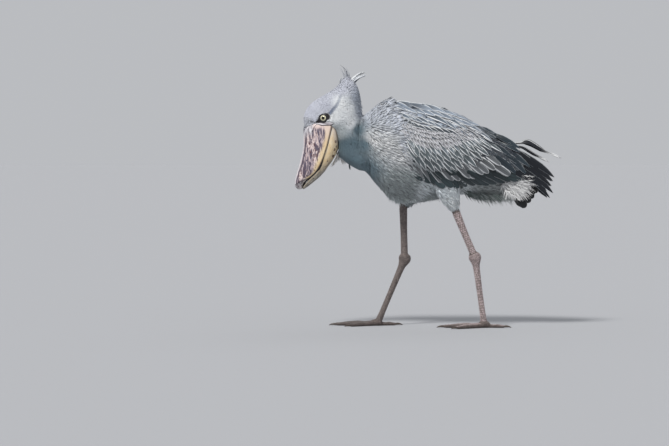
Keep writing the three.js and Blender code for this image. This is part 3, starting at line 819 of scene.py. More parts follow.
def upper_shape(p, T, A, k, rise, out, half):
    x = p[..., 0]
    fade = smooth(0.0, 0.08, T) * smooth(1.0, 0.93, T)
    outer = smooth(0.02, 0.2, np.sin(A))
    ridge = 1.9 * np.exp(-(x / 5.0) ** 2) - 1.5 * np.exp(-((np.abs(x) - 10.5 * (1 - 0.4 * T)) / 2.4) ** 2)
    flat = p.reshape(-1, 3)
    w = flat * np.array([1.0, 0.9, 0.22])
    grain = (value_noise(w, 11, 41) * 0.35 + value_noise(w * np.array([1, 1, 0.6]), 4.5, 42) * 0.22).reshape(x.shape)
    d = (ridge * smooth(0.75, 0.95, k) + grain * 0.8) * outer * fade
    # a raised lip along the cutting edge
    d = d + 0.8 * np.exp(-((k - 0.05) / 0.05) ** 2) * outer * fade
    # the nail: a slight step where the hooked tip begins
    nail = smooth(0.835, 0.86, T + 0.10 * (1 - k))
    d = d + (nail * 0.9 - 1.3 * np.exp(-((T + 0.10 * (1 - k) - 0.838) / 0.010) ** 2)) * outer
    p = p + out * d[..., None]
    # the palate hangs into the open part of the mouth
    sag = 8.5 * smooth(0.40, 0.60, T) * smooth(1.0, 0.93, T) * smooth(0.05, 0.55, -np.sin(A))
    p = p - rise * sag[..., None]
    return p, (k, T)


def lower_shape(p, T, A, k, rise, out, half):
    gap = 4.6 * smooth(0.42, 0.66, T) * smooth(1.0, 0.90, T)
    outer = smooth(0.02, 0.2, np.sin(A))
    p = p + rise * (gap * (1 - np.clip(k, 0, 1)))[..., None]
    flat = p.reshape(-1, 3)
    w = flat * np.array([1.0, 0.9, 0.3])
    grain = (value_noise(w, 12, 43) * 0.4 + value_noise(w, 5, 44) * 0.2).reshape(k.shape)
    d = (grain + 0.9 * np.exp(-((k - 0.06) / 0.05) ** 2)) * outer * smooth(0, 0.1, T) * smooth(1.0, 0.93, T)
    return p + out * d[..., None], (k, T)


def bill_material():
    """Horn: straw and flesh tones with long grey-violet mottles, yellower along the mouth, a grey nail."""
    n = Net("bill")
    at = n.put("ShaderNodeAttribute", attribute_name="form")
    s = n.put("ShaderNodeSeparateXYZ")
    n.wire(at.outputs["Vector"], s.inputs[0])
    k, t, inner = s.outputs
    pos = n.where()
    long = n.stretch(pos, 1.0, 1.0, 0.26)
    broad = n.noise(long, 34.0, 3.0, 0.55, 0.6)
    fine = n.noise(long, 105.0, 4.0, 0.62, 0.9)
    speck = n.noise(n.stretch(pos, 1.0, 1.0, 0.5), 190.0, 3.0, 0.6, 0.4)
    thread = n.noise(n.stretch(pos, 1.0, 1.0, 0.12), 260.0, 3.0, 0.6, 0.5)
    flesh_ = n.mix(n.step(broad, 0.35, 0.68), tuple(linear((236, 218, 214))), tuple(linear((214, 190, 186))))
    straw = n.mix(n.step(fine, 0.3, 0.75), tuple(linear((238, 219, 182))), tuple(linear((222, 190, 142))))
    base = n.mix(n.step(n.math("ADD", k, n.math("MULTIPLY", n.math("SUBTRACT", broad, 0.5), 0.5)), 0.34, 0.12),
                 flesh_, straw)
    base = n.mix(n.math("MULTIPLY", n.step(t, 0.34, 0.12), 0.8), base, tuple(linear((226, 206, 200))))
    base = n.mix(n.math("MULTIPLY", n.step(thread, 0.56, 0.66), 0.35), base, tuple(linear((168, 140, 130))))
    edge_k = n.math("ADD", k, n.math("MULTIPLY", n.math("SUBTRACT", broad, 0.5), 0.45))
    zone = n.math("MULTIPLY", n.step(edge_k, 0.10, 0.30), n.step(t, 0.93, 0.80))
    zone = n.math("MULTIPLY", zone, n.step(t, 0.13, 0.18))
    # long grey-violet flecks, and small dark plum ones
    f0 = n.math("MULTIPLY", n.step(broad, 0.42, 0.60), n.step(thread, 0.34, 0.56))
    base = n.mix(n.math("MULTIPLY", n.math("MULTIPLY", f0, zone), 0.62), base, tuple(linear((136, 130, 148))))
    f1 = n.math("MULTIPLY", n.step(fine, 0.45, 0.53), n.step(broad, 0.34, 0.50))
    base = n.mix(n.math("MULTIPLY", n.math("MULTIPLY", f1, zone), 0.92), base, tuple(linear((72, 66, 86))))
    f2 = n.math("MULTIPLY", n.step(speck, 0.52, 0.58), n.step(broad, 0.60, 0.46))
    base = n.mix(n.math("MULTIPLY", n.math("MULTIPLY", f2, zone), 0.92), base, tuple(linear((84, 48, 56))))
    f3 = n.math("MULTIPLY", n.step(speck, 0.64, 0.69), n.step(k, 0.02, 0.10))
    base = n.mix(n.math("MULTIPLY", f3, 0.75), base, tuple(linear((110, 66, 54))))
    # painted highlight along the ridge and painted shade in the groove beside it
    ridge = n.step(k, 0.955, 0.985)
    base = n.mix(n.math("MULTIPLY", ridge, 0.85), base, tuple(linear((222, 216, 220))))
    groove = n.math("MULTIPLY", n.step(k, 0.86, 0.91), n.step(k, 0.965, 0.935))
    base = n.mix(n.math("MULTIPLY", n.math("MULTIPLY", groove, n.step(t, 0.16, 0.24)), 0.85), base,
                 tuple(linear((70, 62, 80))))
    # the streaky pale root of the ridge, the bare pale rim over the horn and the dark line below it
    streaky = n.math("MULTIPLY", n.step(k, 0.62, 0.74), n.step(t, 0.27, 0.17))
    base = n.mix(n.math("MULTIPLY", streaky, 0.9), base,
                 n.mix(n.step(thread, 0.44, 0.58), tuple(linear((226, 224, 228))), tuple(linear((112, 108, 120)))))
    line = n.math("ADD", n.math("SUBTRACT", 0.116, n.math("MULTIPLY", n.step(k, 0.35, 0.55), 0.022)),
                  n.math("MULTIPLY", n.step(k, 0.55, 0.70), 0.090))
    off_line = n.math("SUBTRACT", t, line)
    pale = n.math("MULTIPLY", n.step(off_line, 0.004, -0.006), n.step(k, 0.66, 0.58))
    base = n.mix(n.math("MULTIPLY", pale, 0.95), base, tuple(linear((212, 206, 212))))
    dark = n.math("MULTIPLY", n.step(n.math("ABSOLUTE", off_line), 0.014, 0.005), n.step(k, 0.74, 0.68))
    base = n.mix(n.math("MULTIPLY", dark, 0.92), base, tuple(linear((40, 36, 42))))
    nail_at = n.math("ADD", t, n.math("MULTIPLY", n.math("SUBTRACT", 1.0, k), 0.10))
    nail = n.step(nail_at, 0.83, 0.85)
    base = n.mix(n.math("MULTIPLY", nail, 0.8), base,
                 n.mix(n.step(fine, 0.44, 0.64), tuple(linear((84, 80, 90))), tuple(linear((214, 210, 212)))))
    seam = n.math("MULTIPLY", n.step(nail_at, 0.818, 0.834), n.step(nail_at, 0.860, 0.842))
    base = n.mix(n.math("MULTIPLY", seam, 0.85), base, tuple(linear((44, 40, 48))))
    lip = n.math("MULTIPLY", n.step(k, 0.07, 0.02), n.step(inner, 0.9, 0.1))
    base = n.mix(n.math("MULTIPLY", lip, 0.8), base, tuple(linear((64, 50, 44))))
    # the inside of the mouth is painted near-black, as painted shade
    base = n.mix(inner, base, (0.012, 0.009, 0.009))
    n.wire(base, n.b.inputs["Base Color"])
    n.wire(n.math("ADD", n.math("MULTIPLY", fine, 0.30), 0.26), n.b.inputs["Roughness"])
    n.b.inputs["Specular IOR Level"].default_value = 0.45
    n.bump(n.math("ADD", fine, n.math("MULTIPLY", speck, 0.5)), 0.45, 0.0009)
    return n.m


def lower_bill_material():
    """The lower jaw: yellow horn with a pale rim, dark spots near its base, greyer to the tip."""
    n = Net("lower_bill")
    at = n.put("ShaderNodeAttribute", attribute_name="form")
    s = n.put("ShaderNodeSeparateXYZ")
    n.wire(at.outputs["Vector"], s.inputs[0])
    k, t, inner = s.outputs
    pos = n.where()
    long = n.stretch(pos, 1.0, 1.0, 0.35)
    broad = n.noise(long, 40.0, 3.0, 0.55, 0.5)
    fine = n.noise(long, 120.0, 4.0, 0.62, 0.7)
    spot = n.noise(pos, 75.0, 2.0, 0.5, 0.3)
    base = n.mix(n.step(fine, 0.3, 0.7), tuple(linear((246, 228, 196))), tuple(linear((232, 202, 152))))
    base = n.mix(n.math("MULTIPLY", n.step(t, 0.30, 0.05), 0.8), base, tuple(linear((226, 212, 200))))
    tip = n.math("MULTIPLY", n.step(t, 0.42, 0.66), n.step(k, 0.06, 0.34))
    base = n.mix(n.math("MULTIPLY", tip, 0.85), base,
                 n.mix(n.step(fine, 0.4, 0.6), tuple(linear((74, 74, 78))), tuple(linear((182, 178, 168)))))
    zone = n.math("MULTIPLY", n.step(k, 0.42, 0.62), n.step(t, 0.62, 0.40))
    dots = n.math("MULTIPLY", n.math("MULTIPLY", n.step(spot, 0.54, 0.60), zone), n.step(t, 0.10, 0.20))
    base = n.mix(n.math("MULTIPLY", dots, 0.85), base, tuple(linear((86, 42, 38))))
    edge = n.math("MULTIPLY", n.step(k, 0.60, 0.85), n.step(t, 0.30, 0.5))
    base = n.mix(n.math("MULTIPLY", edge, 0.6), base, tuple(linear((66, 58, 56))))
    rim = n.step(k, 0.16, 0.07)
    base = n.mix(n.math("MULTIPLY", rim, 0.8), base, tuple(linear((224, 216, 204))))
    # the inside of the mouth is painted near-black, as painted shade
    base = n.mix(inner, base, (0.016, 0.011, 0.010))
    n.wire(base, n.b.inputs["Base Color"])
    n.wire(n.math("ADD", n.math("MULTIPLY", fine, 0.28), 0.30), n.b.inputs["Roughness"])
    n.b.inputs["Specular IOR Level"].default_value = 0.45
    n.bump(fine, 0.4, 0.0008)
    return n.m


v_, f_, fo_ = bowl(UPPER_ROWS, -0.06, 2.5, 150, 210, upper_shape)
upper = add_mesh("bill_upper_horn", v_, f_)
set_attr(upper, "form", "FLOAT_VECTOR", fo_)
upper.data.materials.append(bill_material())
v_, f_, fo_ = bowl(LOWER_ROWS, 0.35, 2.3, 130, 170, lower_shape)
lower = add_mesh("bill_lower_horn", v_, f_)
set_attr(lower, "form", "FLOAT_VECTOR", fo_)
lower.data.materials.append(lower_bill_material())

# ------------------------------------------------------------------ eyes and lids
def eye_material():
    n = Net("eye")
    at = n.put("ShaderNodeAttribute", attribute_name="form")
    s = n.put("ShaderNodeSeparateXYZ")
    n.wire(at.outputs["Vector"], s.inputs[0])
    r, a, _ = s.outputs
    ray = n.put("ShaderNodeCombineXYZ")
    n.wire(n.math("MULTIPLY", a, 22.0), ray.inputs[0])
    n.wire(n.math("MULTIPLY", r, 2.0), ray.inputs[1])
    fibre = n.noise(ray.outputs[0], 1.0, 3.0, 0.6)
    iris = n.mix(fibre, tuple(linear((202, 199, 166))), tuple(linear((234, 232, 210))))
    iris = n.mix(n.step(r, 0.70, 0.50), iris, tuple(linear((166, 158, 118))))
    col = n.mix(n.step(r, 0.86, 0.96), iris, (0.006, 0.006, 0.007))
    col = n.mix(n.step(r, 0.52, 0.48), col, (0.003, 0.003, 0.004))
    n.wire(col, n.b.inputs["Base Color"])
    n.flat(Roughness=0.30)
    n.b.inputs["Specular IOR Level"].default_value = 0.2
    n.b.inputs["Coat Weight"].default_value = 0.55
    n.b.inputs["Coat Roughness"].default_value = 0.03
    n.b.inputs["Coat IOR"].default_value = 1.38
    return n.m


def lid_material():
    n = Net("eyelid")
    colour, _ = n.tint()
    pos = n.where()
    fold = n.noise(n.stretch(pos, 1.0, 1.0, 2.2), 260.0, 3.0, 0.6)
    n.wire(n.mix(1.0, colour, n.grey(n.math("ADD", n.math("MULTIPLY", fold, 0.6), 0.7)), "MULTIPLY"),
           n.b.inputs["Base Color"])
    n.flat(Roughness=0.42)
    n.bump(fold, 0.5, 0.0006)
    return n.m


EYE_MAT, LID_MAT = eye_material(), lid_material()
EYE_R = 14.5
balls, rims = [], []
for s in ("left", "right"):
    m = 1 if s == "left" else -1
    c = np.array([EYE[0] * m, EYE[1], EYE[2]])
    g = unit(np.array([0.965 * m, -0.26, 0.02]))
    up = unit(np.array([0, 0.10, 1.0]) - g * (np.array([0, 0.10, 1.0]) @ g))
    rt = np.cross(up, g)
    # eyeball with the cornea's bulge
    n1, n2 = 64, 40
    th = np.linspace(0, np.pi, n2 + 1)[1:-1]
    ph = np.arange(n1) / n1 * 2 * np.pi
    TH, PH = np.meshgrid(th, ph, indexing="ij")
    R = EYE_R * (1 + 0.055 * np.exp(-(TH / 0.62) ** 4))
    R = np.minimum(R, EYE_R + 0.35)
    P = c + R[..., None] * (np.cos(TH)[..., None] * g + np.sin(TH)[..., None]
                            * (np.cos(PH)[..., None] * rt + np.sin(PH)[..., None] * up))
    verts = np.concatenate([(c + g * (EYE_R + 0.35))[None], P.reshape(-1, 3), (c - g * EYE_R)[None]])
    rad = EYE_R * np.sin(TH) / 11.0
    rad = np.where(TH > np.pi / 2, 2.0, rad)
    fo = np.stack([rad, PH / (2 * np.pi), np.zeros_like(rad)], -1).reshape(-1, 3)
    fo = np.concatenate([np.zeros((1, 3)), fo, np.array([[2.0, 0, 0]])])
    i = np.arange(n1)
    i1 = (i + 1) % n1
    rr = np.arange(n2 - 2)[:, None] * n1 + 1
    quads = np.stack([rr + i, rr + i1, rr + i1 + n1, rr + i + n1], -1).reshape(-1, 4)
    last = len(verts) - 1
    e0 = 1 + (n2 - 2) * n1
    tris = np.concatenate([np.stack([np.zeros(n1, int), 1 + i1, 1 + i], 1),
                           np.stack([np.full(n1, last), e0 + i, e0 + i1], 1)])
    f = tri_faces(quads, tris)
    if signed_volume(verts, f) < 0:
        f = f[:, ::-1]
    balls.append((mm(verts), f, fo))
    # lids: a thick rim round the opening, running out to the socket
    na = 96
    ph = np.arange(na) / na * 2 * np.pi
    open_r = 11.3 - 0.9 * np.clip(np.sin(ph), 0, 1) ** 2 - 0.3 * np.clip(-np.sin(ph), 0, 1) ** 2
    corner = np.maximum(np.abs(np.cos(ph)), 0) ** 14
    open_r = open_r + 0.8 * corner
    prof = [(0.0, 0.15), (0.05, 1.1), (0.7, 1.75), (1.8, 1.9), (3.2, 1.2), (4.8, 0.2), (6.6, -1.6)]
    V, C = [], []
    for j, (dr, dh) in enumerate(prof):
        rho = open_r + dr
        inside = np.minimum(open_r, EYE_R * 0.95)
        h = np.sqrt(EYE_R ** 2 - inside ** 2) + dh
        if j >= 3:
            h = h + 0.35 * np.sin(ph * 1 + 0.6) * (j - 2) / 3
        V.append(c + h[:, None] * g + rho[:, None] * (np.cos(ph)[:, None] * rt + np.sin(ph)[:, None] * up))
        shade = np.tile(linear([30, 28, 30])[None], (na, 1))
        C.append(shade)
    V = np.concatenate(V)
    i = np.arange(na)
    i1 = (i + 1) % na
    rr = np.arange(len(prof) - 1)[:, None] * na
    quads = np.stack([rr + i, rr + i1, rr + i1 + na, rr + i + na], -1).reshape(-1, 4)
    nn = np.cross(V[quads[3 * na, 1]] - V[quads[3 * na, 0]], V[quads[3 * na, 2]] - V[quads[3 * na, 0]])
    if nn @ g < 0:
        quads = quads[:, ::-1]
    rims.append((mm(V), quads, np.concatenate(C)))


def gathered(name, parts, attr, kind, material):
    base = np.cumsum([0] + [len(p[0]) for p in parts])
    ob = add_mesh(name, np.concatenate([p[0] for p in parts]), np.concatenate([p[1] + b for p, b in zip(parts, base)]))
    data = np.concatenate([p[2] for p in parts])
    if kind == "FLOAT_COLOR":
        data = np.concatenate([data, np.zeros((len(data), 1))], 1)
    set_attr(ob, attr, kind, data)
    ob.data.materials.append(material)
    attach(ob, "root")
    return ob


ob = gathered("eyeballs", balls, "form", "FLOAT_VECTOR", EYE_MAT)
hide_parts("eye_left", "eye_right")
ob = gathered("lids", rims, "tint", "FLOAT_COLOR", LID_MAT)

# ------------------------------------------------------------------ claws
def claw_material():
    n = Net("claw")
    pos = n.where()
    grain = n.noise(n.stretch(pos, 1.0, 0.4, 1.0), 240.0, 3.0, 0.6)
    n.wire(n.mix(grain, tuple(linear((46, 40, 38))), tuple(linear((96, 84, 76)))), n.b.inputs["Base Color"])
    n.wire(n.math("ADD", n.math("MULTIPLY", grain, 0.2), 0.28), n.b.inputs["Roughness"])
    n.bump(grain, 0.3, 0.0004)
    return n.m


CLAW_MAT = claw_material()
V_, F_, base_, nodes_ = [], [], 0, []
for s in ("left", "right"):
    for toe, rows in LEGS[s][5].items():
        v, q, t = outward(*loft(limb(rows, 0.0), 20, 20))
        V_.append(mm(v))
        F_.append(tri_faces(q, t) + base_)
        base_ += len(v)
        nodes_.append("claw_%s_%s" % (toe, s))
ob = add_mesh("nails", np.concatenate(V_), np.concatenate(F_))
ob.data.materials.append(CLAW_MAT)
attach(ob, "root")
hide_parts(*nodes_)

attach(skin, "root")
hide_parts("head", "neck", "trunk", "wing_left", "wing_right", "thigh_left", "thigh_right",
            "shank_left", "shank_right", "tarsus_left", "tarsus_right", "foot_left", "foot_right",
            *["toe_%s_%s" % (t, s) for t in TOE_LENGTH for s in ("left", "right")])
for ob, node in ((upper, "bill_upper"), (lower, "bill_lower")):
    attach(ob, "root")
    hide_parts(node)

# ------------------------------------------------------------------ feathers
def nearest(p):
    """Closest points on the guide and its smooth normals there."""
    q = np.empty_like(p)
    idx = np.empty(len(p), int)
    f = guide.find_nearest
    for i, c in enumerate(p.tolist()):
        loc, _, k, _ = f(c)
        q[i] = loc
        idx[i] = k
    corners = gq[idx]
    w = 1 / (((gv[corners] - q[:, None]) ** 2).sum(-1) + 1e-7)
    return q, unit((gns[corners] * w[..., None]).sum(1))


def march(root, nor, lie, length, K, stiff, sunk, lift):
    """Shafts laid over the guide from sunk roots to lifted tips; all sizes in mm."""
    N = len(root)
    P = np.empty((N, K + 1, 3))
    F = np.empty((N, K + 1, 3))
    d = unit(lie - nor * (lie * nor).sum(1, keepdims=True))
    c, n = root, nor
    P[:, 0], F[:, 0] = root, nor
    st = np.asarray(stiff)[:, None]
    for k in range(1, K + 1):
        c1 = c + d * (length / K / 1000)[:, None]
        q, n1 = nearest(c1)
        q = q + (c1 - q) * st
        n1 = unit(n1 * (1 - 0.6 * st) + n * 0.6 * st)
        d = unit(q - c)
        d = unit(d - n1 * (d * n1).sum(1, keepdims=True) * (1 - st))
        P[:, k], F[:, k] = q, n1
        c, n = q, n1
    t = np.linspace(0, 1, K + 1)
    h = (-sunk[:, None] * (1 - t[None]) ** 1.3 + lift[:, None] * t[None] ** 2.2) / 1000
    return P + F * h[..., None], F


def frames(P, F):
    T = np.gradient(P, axis=1)
    T = unit(T)
    S = unit(np.cross(T, F))
    B = unit(np.cross(S, T))
    return T, S, B


def patches(roots, N, axis_z=0.62):
    """A cell for each feather at its root's place on an unwrap round the body's long axis: column and row, cells a side."""
    G = int(math.ceil(math.sqrt(N)))
    ang = np.arctan2(roots[:, 0], roots[:, 2] - axis_z)
    order = np.argsort(roots[:, 1], kind="stable")
    col = np.empty(N, int)
    row = np.empty(N, int)
    col[order] = np.arange(N) * G // N
    for c in range(G):
        m = np.where(col == c)[0]
        row[m[np.argsort(ang[m], kind="stable")]] = np.arange(len(m)) * G // max(len(m), 1)
    return col, row, G


def build_vanes(name, P, F, W, prof, tint, rim, roll=None, camber=0.14, M=3, thick=None, asym=None,
                material=None, normal_mix=0.0, skew=None, stations=None):
    """One joined mesh of closed vanes.

    P, F: shafts and facing (N, K+1, 3), metres. W: widths in mm (N,). prof: width along the vane (K+1,) or (N, K+1).
    tint: colour (N, 3) or (N, K+1, 3). rim: strength of the pale rim (N,).
    """
    N, K1 = P.shape[:2]
    if N == 0:
        return None
    stations = np.linspace(0, 1, K1) if stations is None else stations
    T, S, B = frames(P, F)
    if roll is not None:
        c, s = np.cos(roll)[:, None, None], np.sin(roll)[:, None, None]
        S, B = S * c + B * s, B * c - S * s
    prof = np.broadcast_to(prof, (N, K1))
    half = prof * W[:, None] / 2000
    s = np.linspace(-1, 1, M)
    arch = 1 - s ** 2
    if M == 3:
        arch = np.array([0.0, 1.0, 0.0])
    left = np.ones(N) if asym is None else 1 - asym
    right = np.ones(N) if asym is None else 1 + asym
    across = np.where(s[None] < 0, s[None] * left[:, None], s[None] * right[:, None])
    cam = np.broadcast_to(np.asarray(camber, float), (N,))
    top = (P[:, :, None] + S[:, :, None] * (half[:, :, None] * across[:, None])[..., None]
           + B[:, :, None] * (half[:, :, None] * 2 * cam[:, None, None] * arch[None, None])[..., None])
    if skew is not None:
        top = top + T[:, :, None] * (half[:, :, None] * skew * np.abs(s)[None, None])[..., None]
    if M == 3:
        ring = top
        R = 3
    else:
        th = (0.45 if thick is None else thick) / 1000
        under = top[:, :, 1:-1] - B[:, :, None] * th * np.clip(prof, 0.15, 1)[..., None, None]
        ring = np.concatenate([top, under[:, :, ::-1]], 2)
        R = 2 * M - 2
    uu = (s + 1) / 2
    if M > 3:
        uu = np.concatenate([uu, uu[1:-1][::-1]])
    verts = ring.reshape(-1, 3)
    base = (np.arange(N) * K1 * R)[:, None]
    one, tuv, flags = [], [], []
    for k in range(K1 - 1):
        for j in range(R):
            j1 = (j + 1) % R
            a, b, c, d = k * R + j, k * R + j1, (k + 1) * R + j1, (k + 1) * R + j
            low = (M == 3 and j == 2) or (M > 3 and j >= M - 1)
            one += [(a, b, c), (a, c, d)]
            flags += [low, low]
    for k, flip in ((0, True), (K1 - 1, False)):
        for j in range(1, R - 1):
            a, b, c = k * R, k * R + j, k * R + j + 1
            one.append((a, c, b) if flip else (a, b, c))
            flags.append(False)
    one = np.array(one)
    flags = np.array(flags)
    faces = (base[:, :, None] + one[None]).reshape(-1, 3)
    ob = add_mesh(name, verts, faces)
    lu = uu[one % R]
    lv = stations[one // R]
    set_uv(ob, "vane", np.tile(np.stack([lu, lv], -1).reshape(-1, 2), (N, 1)))
    col, row, G = patches(P[:, 0], N)
    pu = np.where(flags[:, None], 0.70 + 0.26 * lu, 0.03 + 0.62 * lu)
    bake = np.empty((N, len(one), 3, 2))
    bake[..., 0] = (col[:, None, None] + 0.02 + 0.96 * pu[None]) / G
    bake[..., 1] = (row[:, None, None] + 0.04 + 0.90 * lv[None]) / G
    set_uv(ob, "OFBake", bake.reshape(-1, 2))
    tint = np.asarray(tint)
    if tint.ndim == 2:
        tint = np.broadcast_to(tint[:, None], (N, K1, 3))
    data = np.empty((N, K1, R, 4), np.float32)
    data[..., :3] = np.clip(tint, 0, 1)[:, :, None]
    data[..., 3] = np.asarray(rim)[:, None, None]
    set_attr(ob, "tint", "FLOAT_COLOR", data.reshape(-1, 4))
    if normal_mix > 0:
        own = np.empty(len(verts) * 3, np.float32)
        ob.data.vertices.foreach_get("normal", own)
        own = own.reshape(-1, 3)
        g = np.broadcast_to(F[:, :, None], (N, K1, R, 3)).reshape(-1, 3)
        sign = np.sign((own * g).sum(1, keepdims=True))
        out = unit(own * (1 - normal_mix) + g * np.where(sign == 0, 1, sign) * normal_mix)
        ob.data.normals_split_custom_set_from_vertices(out.tolist())
    if material:
        ob.data.materials.append(material)
    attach(ob, "root")
    print(name, N, "vanes", len(faces), "triangles")
    return ob


upper_bvh = BVHTree.FromPolygons(np.array([v.co for v in upper.data.vertices]).tolist(),
                                 [tuple(p.vertices) for p in upper.data.polygons])
lower_bvh = BVHTree.FromPolygons(np.array([v.co for v in lower.data.vertices]).tolist(),
                                 [tuple(p.vertices) for p in lower.data.polygons])


def in_bill(p, margin=0.0006):
    """True where a point lies in the bill or just above its surface."""
    r = raw(p)
    out = np.zeros(len(p), bool)
    for i in np.where((r[:, 1] < -318) & (r[:, 2] < 752))[0]:
        for tree in (upper_bvh, lower_bvh):
            loc, no, _, d = tree.find_nearest(p[i].tolist())
            if (Vector(p[i]) - loc).dot(no) < margin and d < 0.06:
                out[i] = True
    return out


LANCE = np.array([0.55, 1.0, 0.92, 0.06])
OVAL = np.array([0.50, 0.95, 1.0, 0.30])
STRAND = np.array([0.40, 0.9, 0.62, 0.03])


def scatter(mask, spacing, seed):
    """Places on the guide, one for each cell of the given spacing (mm) there."""
    g = np.random.default_rng(seed)
    faces = np.where(mask)[0]
    a = garea[faces]
    sp = spacing[faces] / 1000
    want = a / sp ** 2
    n = int(want.sum() * 3.2)
    pick = g.choice(len(faces), n, p=want / want.sum())
    f = faces[pick]
    u, v = g.random(n), g.random(n)
    quad = gv[gq[f]]
    p = (quad[:, 0] * ((1 - u) * (1 - v))[:, None] + quad[:, 1] * (u * (1 - v))[:, None]
         + quad[:, 2] * (u * v)[:, None] + quad[:, 3] * ((1 - u) * v)[:, None])
    cell = np.floor(p / sp[pick][:, None] + 0.5).astype(np.int64)
    key = cell[:, 0] * 73856093 ^ cell[:, 1] * 19349663 ^ cell[:, 2] * 83492791
    _, first = np.unique(key, return_index=True)
    return p[np.sort(first)], f[np.sort(first)]


glie, glen, gwid, gdep, gloose, grim, gcol = chart(gmid)
gr = raw(gmid)
gdark, gband = bare_face(gmid)
gy, gz, gx = gr[:, 1], gr[:, 2], np.abs(gr[:, 0])
# which tract piece a place belongs to
neck_line = gz - (693 - (gy + 300) * 0.73)
is_head = (neck_line > 0) & (gy < -225)
is_neck = ~is_head & (gy < -232)



def coat(name, mask, seed, density, K=3, prof=LANCE, normal_mix=0.0, lift=1.0, long=1.0, wide=1.0, roll=0.35,
         vary=0.10, turn=10.0, material=None, rim=1.0, loose=1.0, check_face=False, dark_root_and_shade=0.66):
    p, f = scatter(mask, gwid * density, seed)
    g = np.random.default_rng(seed + 1)
    q, n = nearest(p)
    lie, L, W, D, lo, rm, col = chart(q)
    N = len(q)
    lo = lo * loose
    yaw = np.radians(turn) * g.normal(size=N) * (0.5 + lo)
    s = unit(np.cross(n, lie))
    lie = lie * np.cos(yaw)[:, None] + s * np.sin(yaw)[:, None]
    L = L * long * g.uniform(0.8, 1.2, N)
    W = W * wide * g.uniform(0.85, 1.15, N)
    stiff = np.clip(lo * g.uniform(0.1, 0.9, N), 0, 0.95)
    up = lift * (0.4 + lo * 5.0 * g.random(N) ** 2.0) * np.clip(L / 30, 0.25, 1.3)
    P, F = march(q, n, lie, L, K, stiff, D * 0.92, up)
    if check_face:
        tip = np.maximum(*bare_face(P[:, -1])) > 0.30
        keep = ~(tip | in_bill(q) | in_bill(P[:, -1], 0.0))
        P, F, W, L, q, col, rm, lo = (x[keep] for x in (P, F, W, L, q, col, rm, lo))
        N = len(q)
    tone = 1 + vary * g.normal(size=N)
    col = col * tone[:, None]
    # feathers along the brow are darkened here as painted shadow
    line = brow_shadow(q)[:, None] * (np.abs(q[:, 0]) > 0.012)[:, None]
    col = col * (1 - line * np.array([[0.78, 0.74, 0.64]]))
    t = np.linspace(0, 1, K + 1)
    # each feather darkens towards its root: partly its own darker base, partly painted shade under the feathers that
    # overlap it
    root_and_shade_ramp = dark_root_and_shade + (1.08 - dark_root_and_shade) * smooth(0.0, 0.75, t)
    tint = col[:, None] * root_and_shade_ramp[None, :, None]
    return build_vanes(name, P, F, W, prof, tint, rm * rim, roll=roll * g.normal(size=N) * (0.3 + lo),
                       material=material or MAT_SOFT, normal_mix=normal_mix)


def inside(poly, y, z):
    """True where a side-view place lies within the polygon of picture points."""
    py_, pz_ = px(np.array([p[0] for p in poly], float), np.array([p[1] for p in poly], float))
    out = np.zeros(len(y), bool)
    j = len(poly) - 1
    for i in range(len(poly)):
        hit = ((pz_[i] > z) != (pz_[j] > z)) & (y < (py_[j] - py_[i]) * (z - pz_[i]) / (pz_[j] - pz_[i] + 1e-9) + py_[i])
        out ^= hit
        j = i
    return out


WING_AREA = [(403, 132), (403, 119), (412, 111.5), (440, 109), (470, 117), (490, 127), (506, 139), (520, 148), (530, 170),
             (527, 184), (508, 188.5), (490, 191.5), (460, 193.5), (440, 193), (422, 189), (407, 180), (401, 163), (399, 146)]
bare = np.maximum(gdark, gband) > 0.5
short = np.array([0.62, 1.0, 0.08])
cap = gz > np.interp(gy, [-460, -375, -345, -330, -290, -240], [745, 762, 795, 825, 850, 860])
coat("coat_crown", is_head & ~bare & cap, 101, 0.56, K=2, prof=short, normal_mix=0.62, lift=0.45, roll=0.2, vary=0.05,
     check_face=True, dark_root_and_shade=0.88)
coat("coat_cheek", is_head & ~bare & ~cap, 103, 0.56, K=2, prof=short, normal_mix=0.62, lift=0.45, roll=0.2, vary=0.05,
     check_face=True, dark_root_and_shade=0.88)
coat("coat_neck", is_neck, 111, 0.55, K=2, prof=short, normal_mix=0.5, lift=0.6, vary=0.07, check_face=True, dark_root_and_shade=0.72)
body = ~is_head & ~is_neck
under_wing = (gx > 40) & inside(WING_AREA, gy, gz)
rest = body & ~under_wing
front = rest & (gy < -60)
coat("coat_breast", front & (gz < 700) & (gz > 545), 121, 0.74, K=4, prof=np.array([0.45, 0.85, 1, 0.72, 0.05]), lift=1.7,
     long=1.7, wide=1.05, roll=0.4, vary=0.13, dark_root_and_shade=0.14, turn=6, rim=1.3)
coat("coat_mantle", rest & (gz >= 700) & (gy < 60), 131, 0.74, K=4, prof=np.array([0.5, 0.9, 1, 0.8, 0.12]), lift=1.5,
     long=1.5, wide=1.15, roll=0.32, vary=0.15, rim=1.9, dark_root_and_shade=0.2, turn=9)
coat("coat_back", rest & (gz >= 600) & (gy >= 60), 141, 0.55, K=4, prof=np.array([0.5, 0.9, 1, 0.85, 0.2]), vary=0.14,
     dark_root_and_shade=0.5)
coat("coat_belly", rest & (gz < 600) & (gy < 190) & ~(front & (gz > 545)), 151, 0.56, K=4,
     prof=np.array([0.4, 0.85, 0.9, 0.55, 0.04]), long=1.15, wide=0.8, vary=0.22, turn=14, dark_root_and_shade=0.35, lift=1.4)
coat("coat_vent", rest & (gz < 600) & (gy >= 190), 161, 0.50, K=5,
     prof=np.array([0.35, 0.8, 0.85, 0.6, 0.35, 0.03]), long=1.2, wide=0.7, vary=0.28, turn=18, dark_root_and_shade=0.35, lift=1.6)
# the feathers under the wing are painted dark, as shade between the wing's feathers
coat("coat_under_wing", under_wing, 171, 0.8, vary=0.08, lift=0.1, long=0.8, wide=1.1, dark_root_and_shade=0.8, loose=0.2)


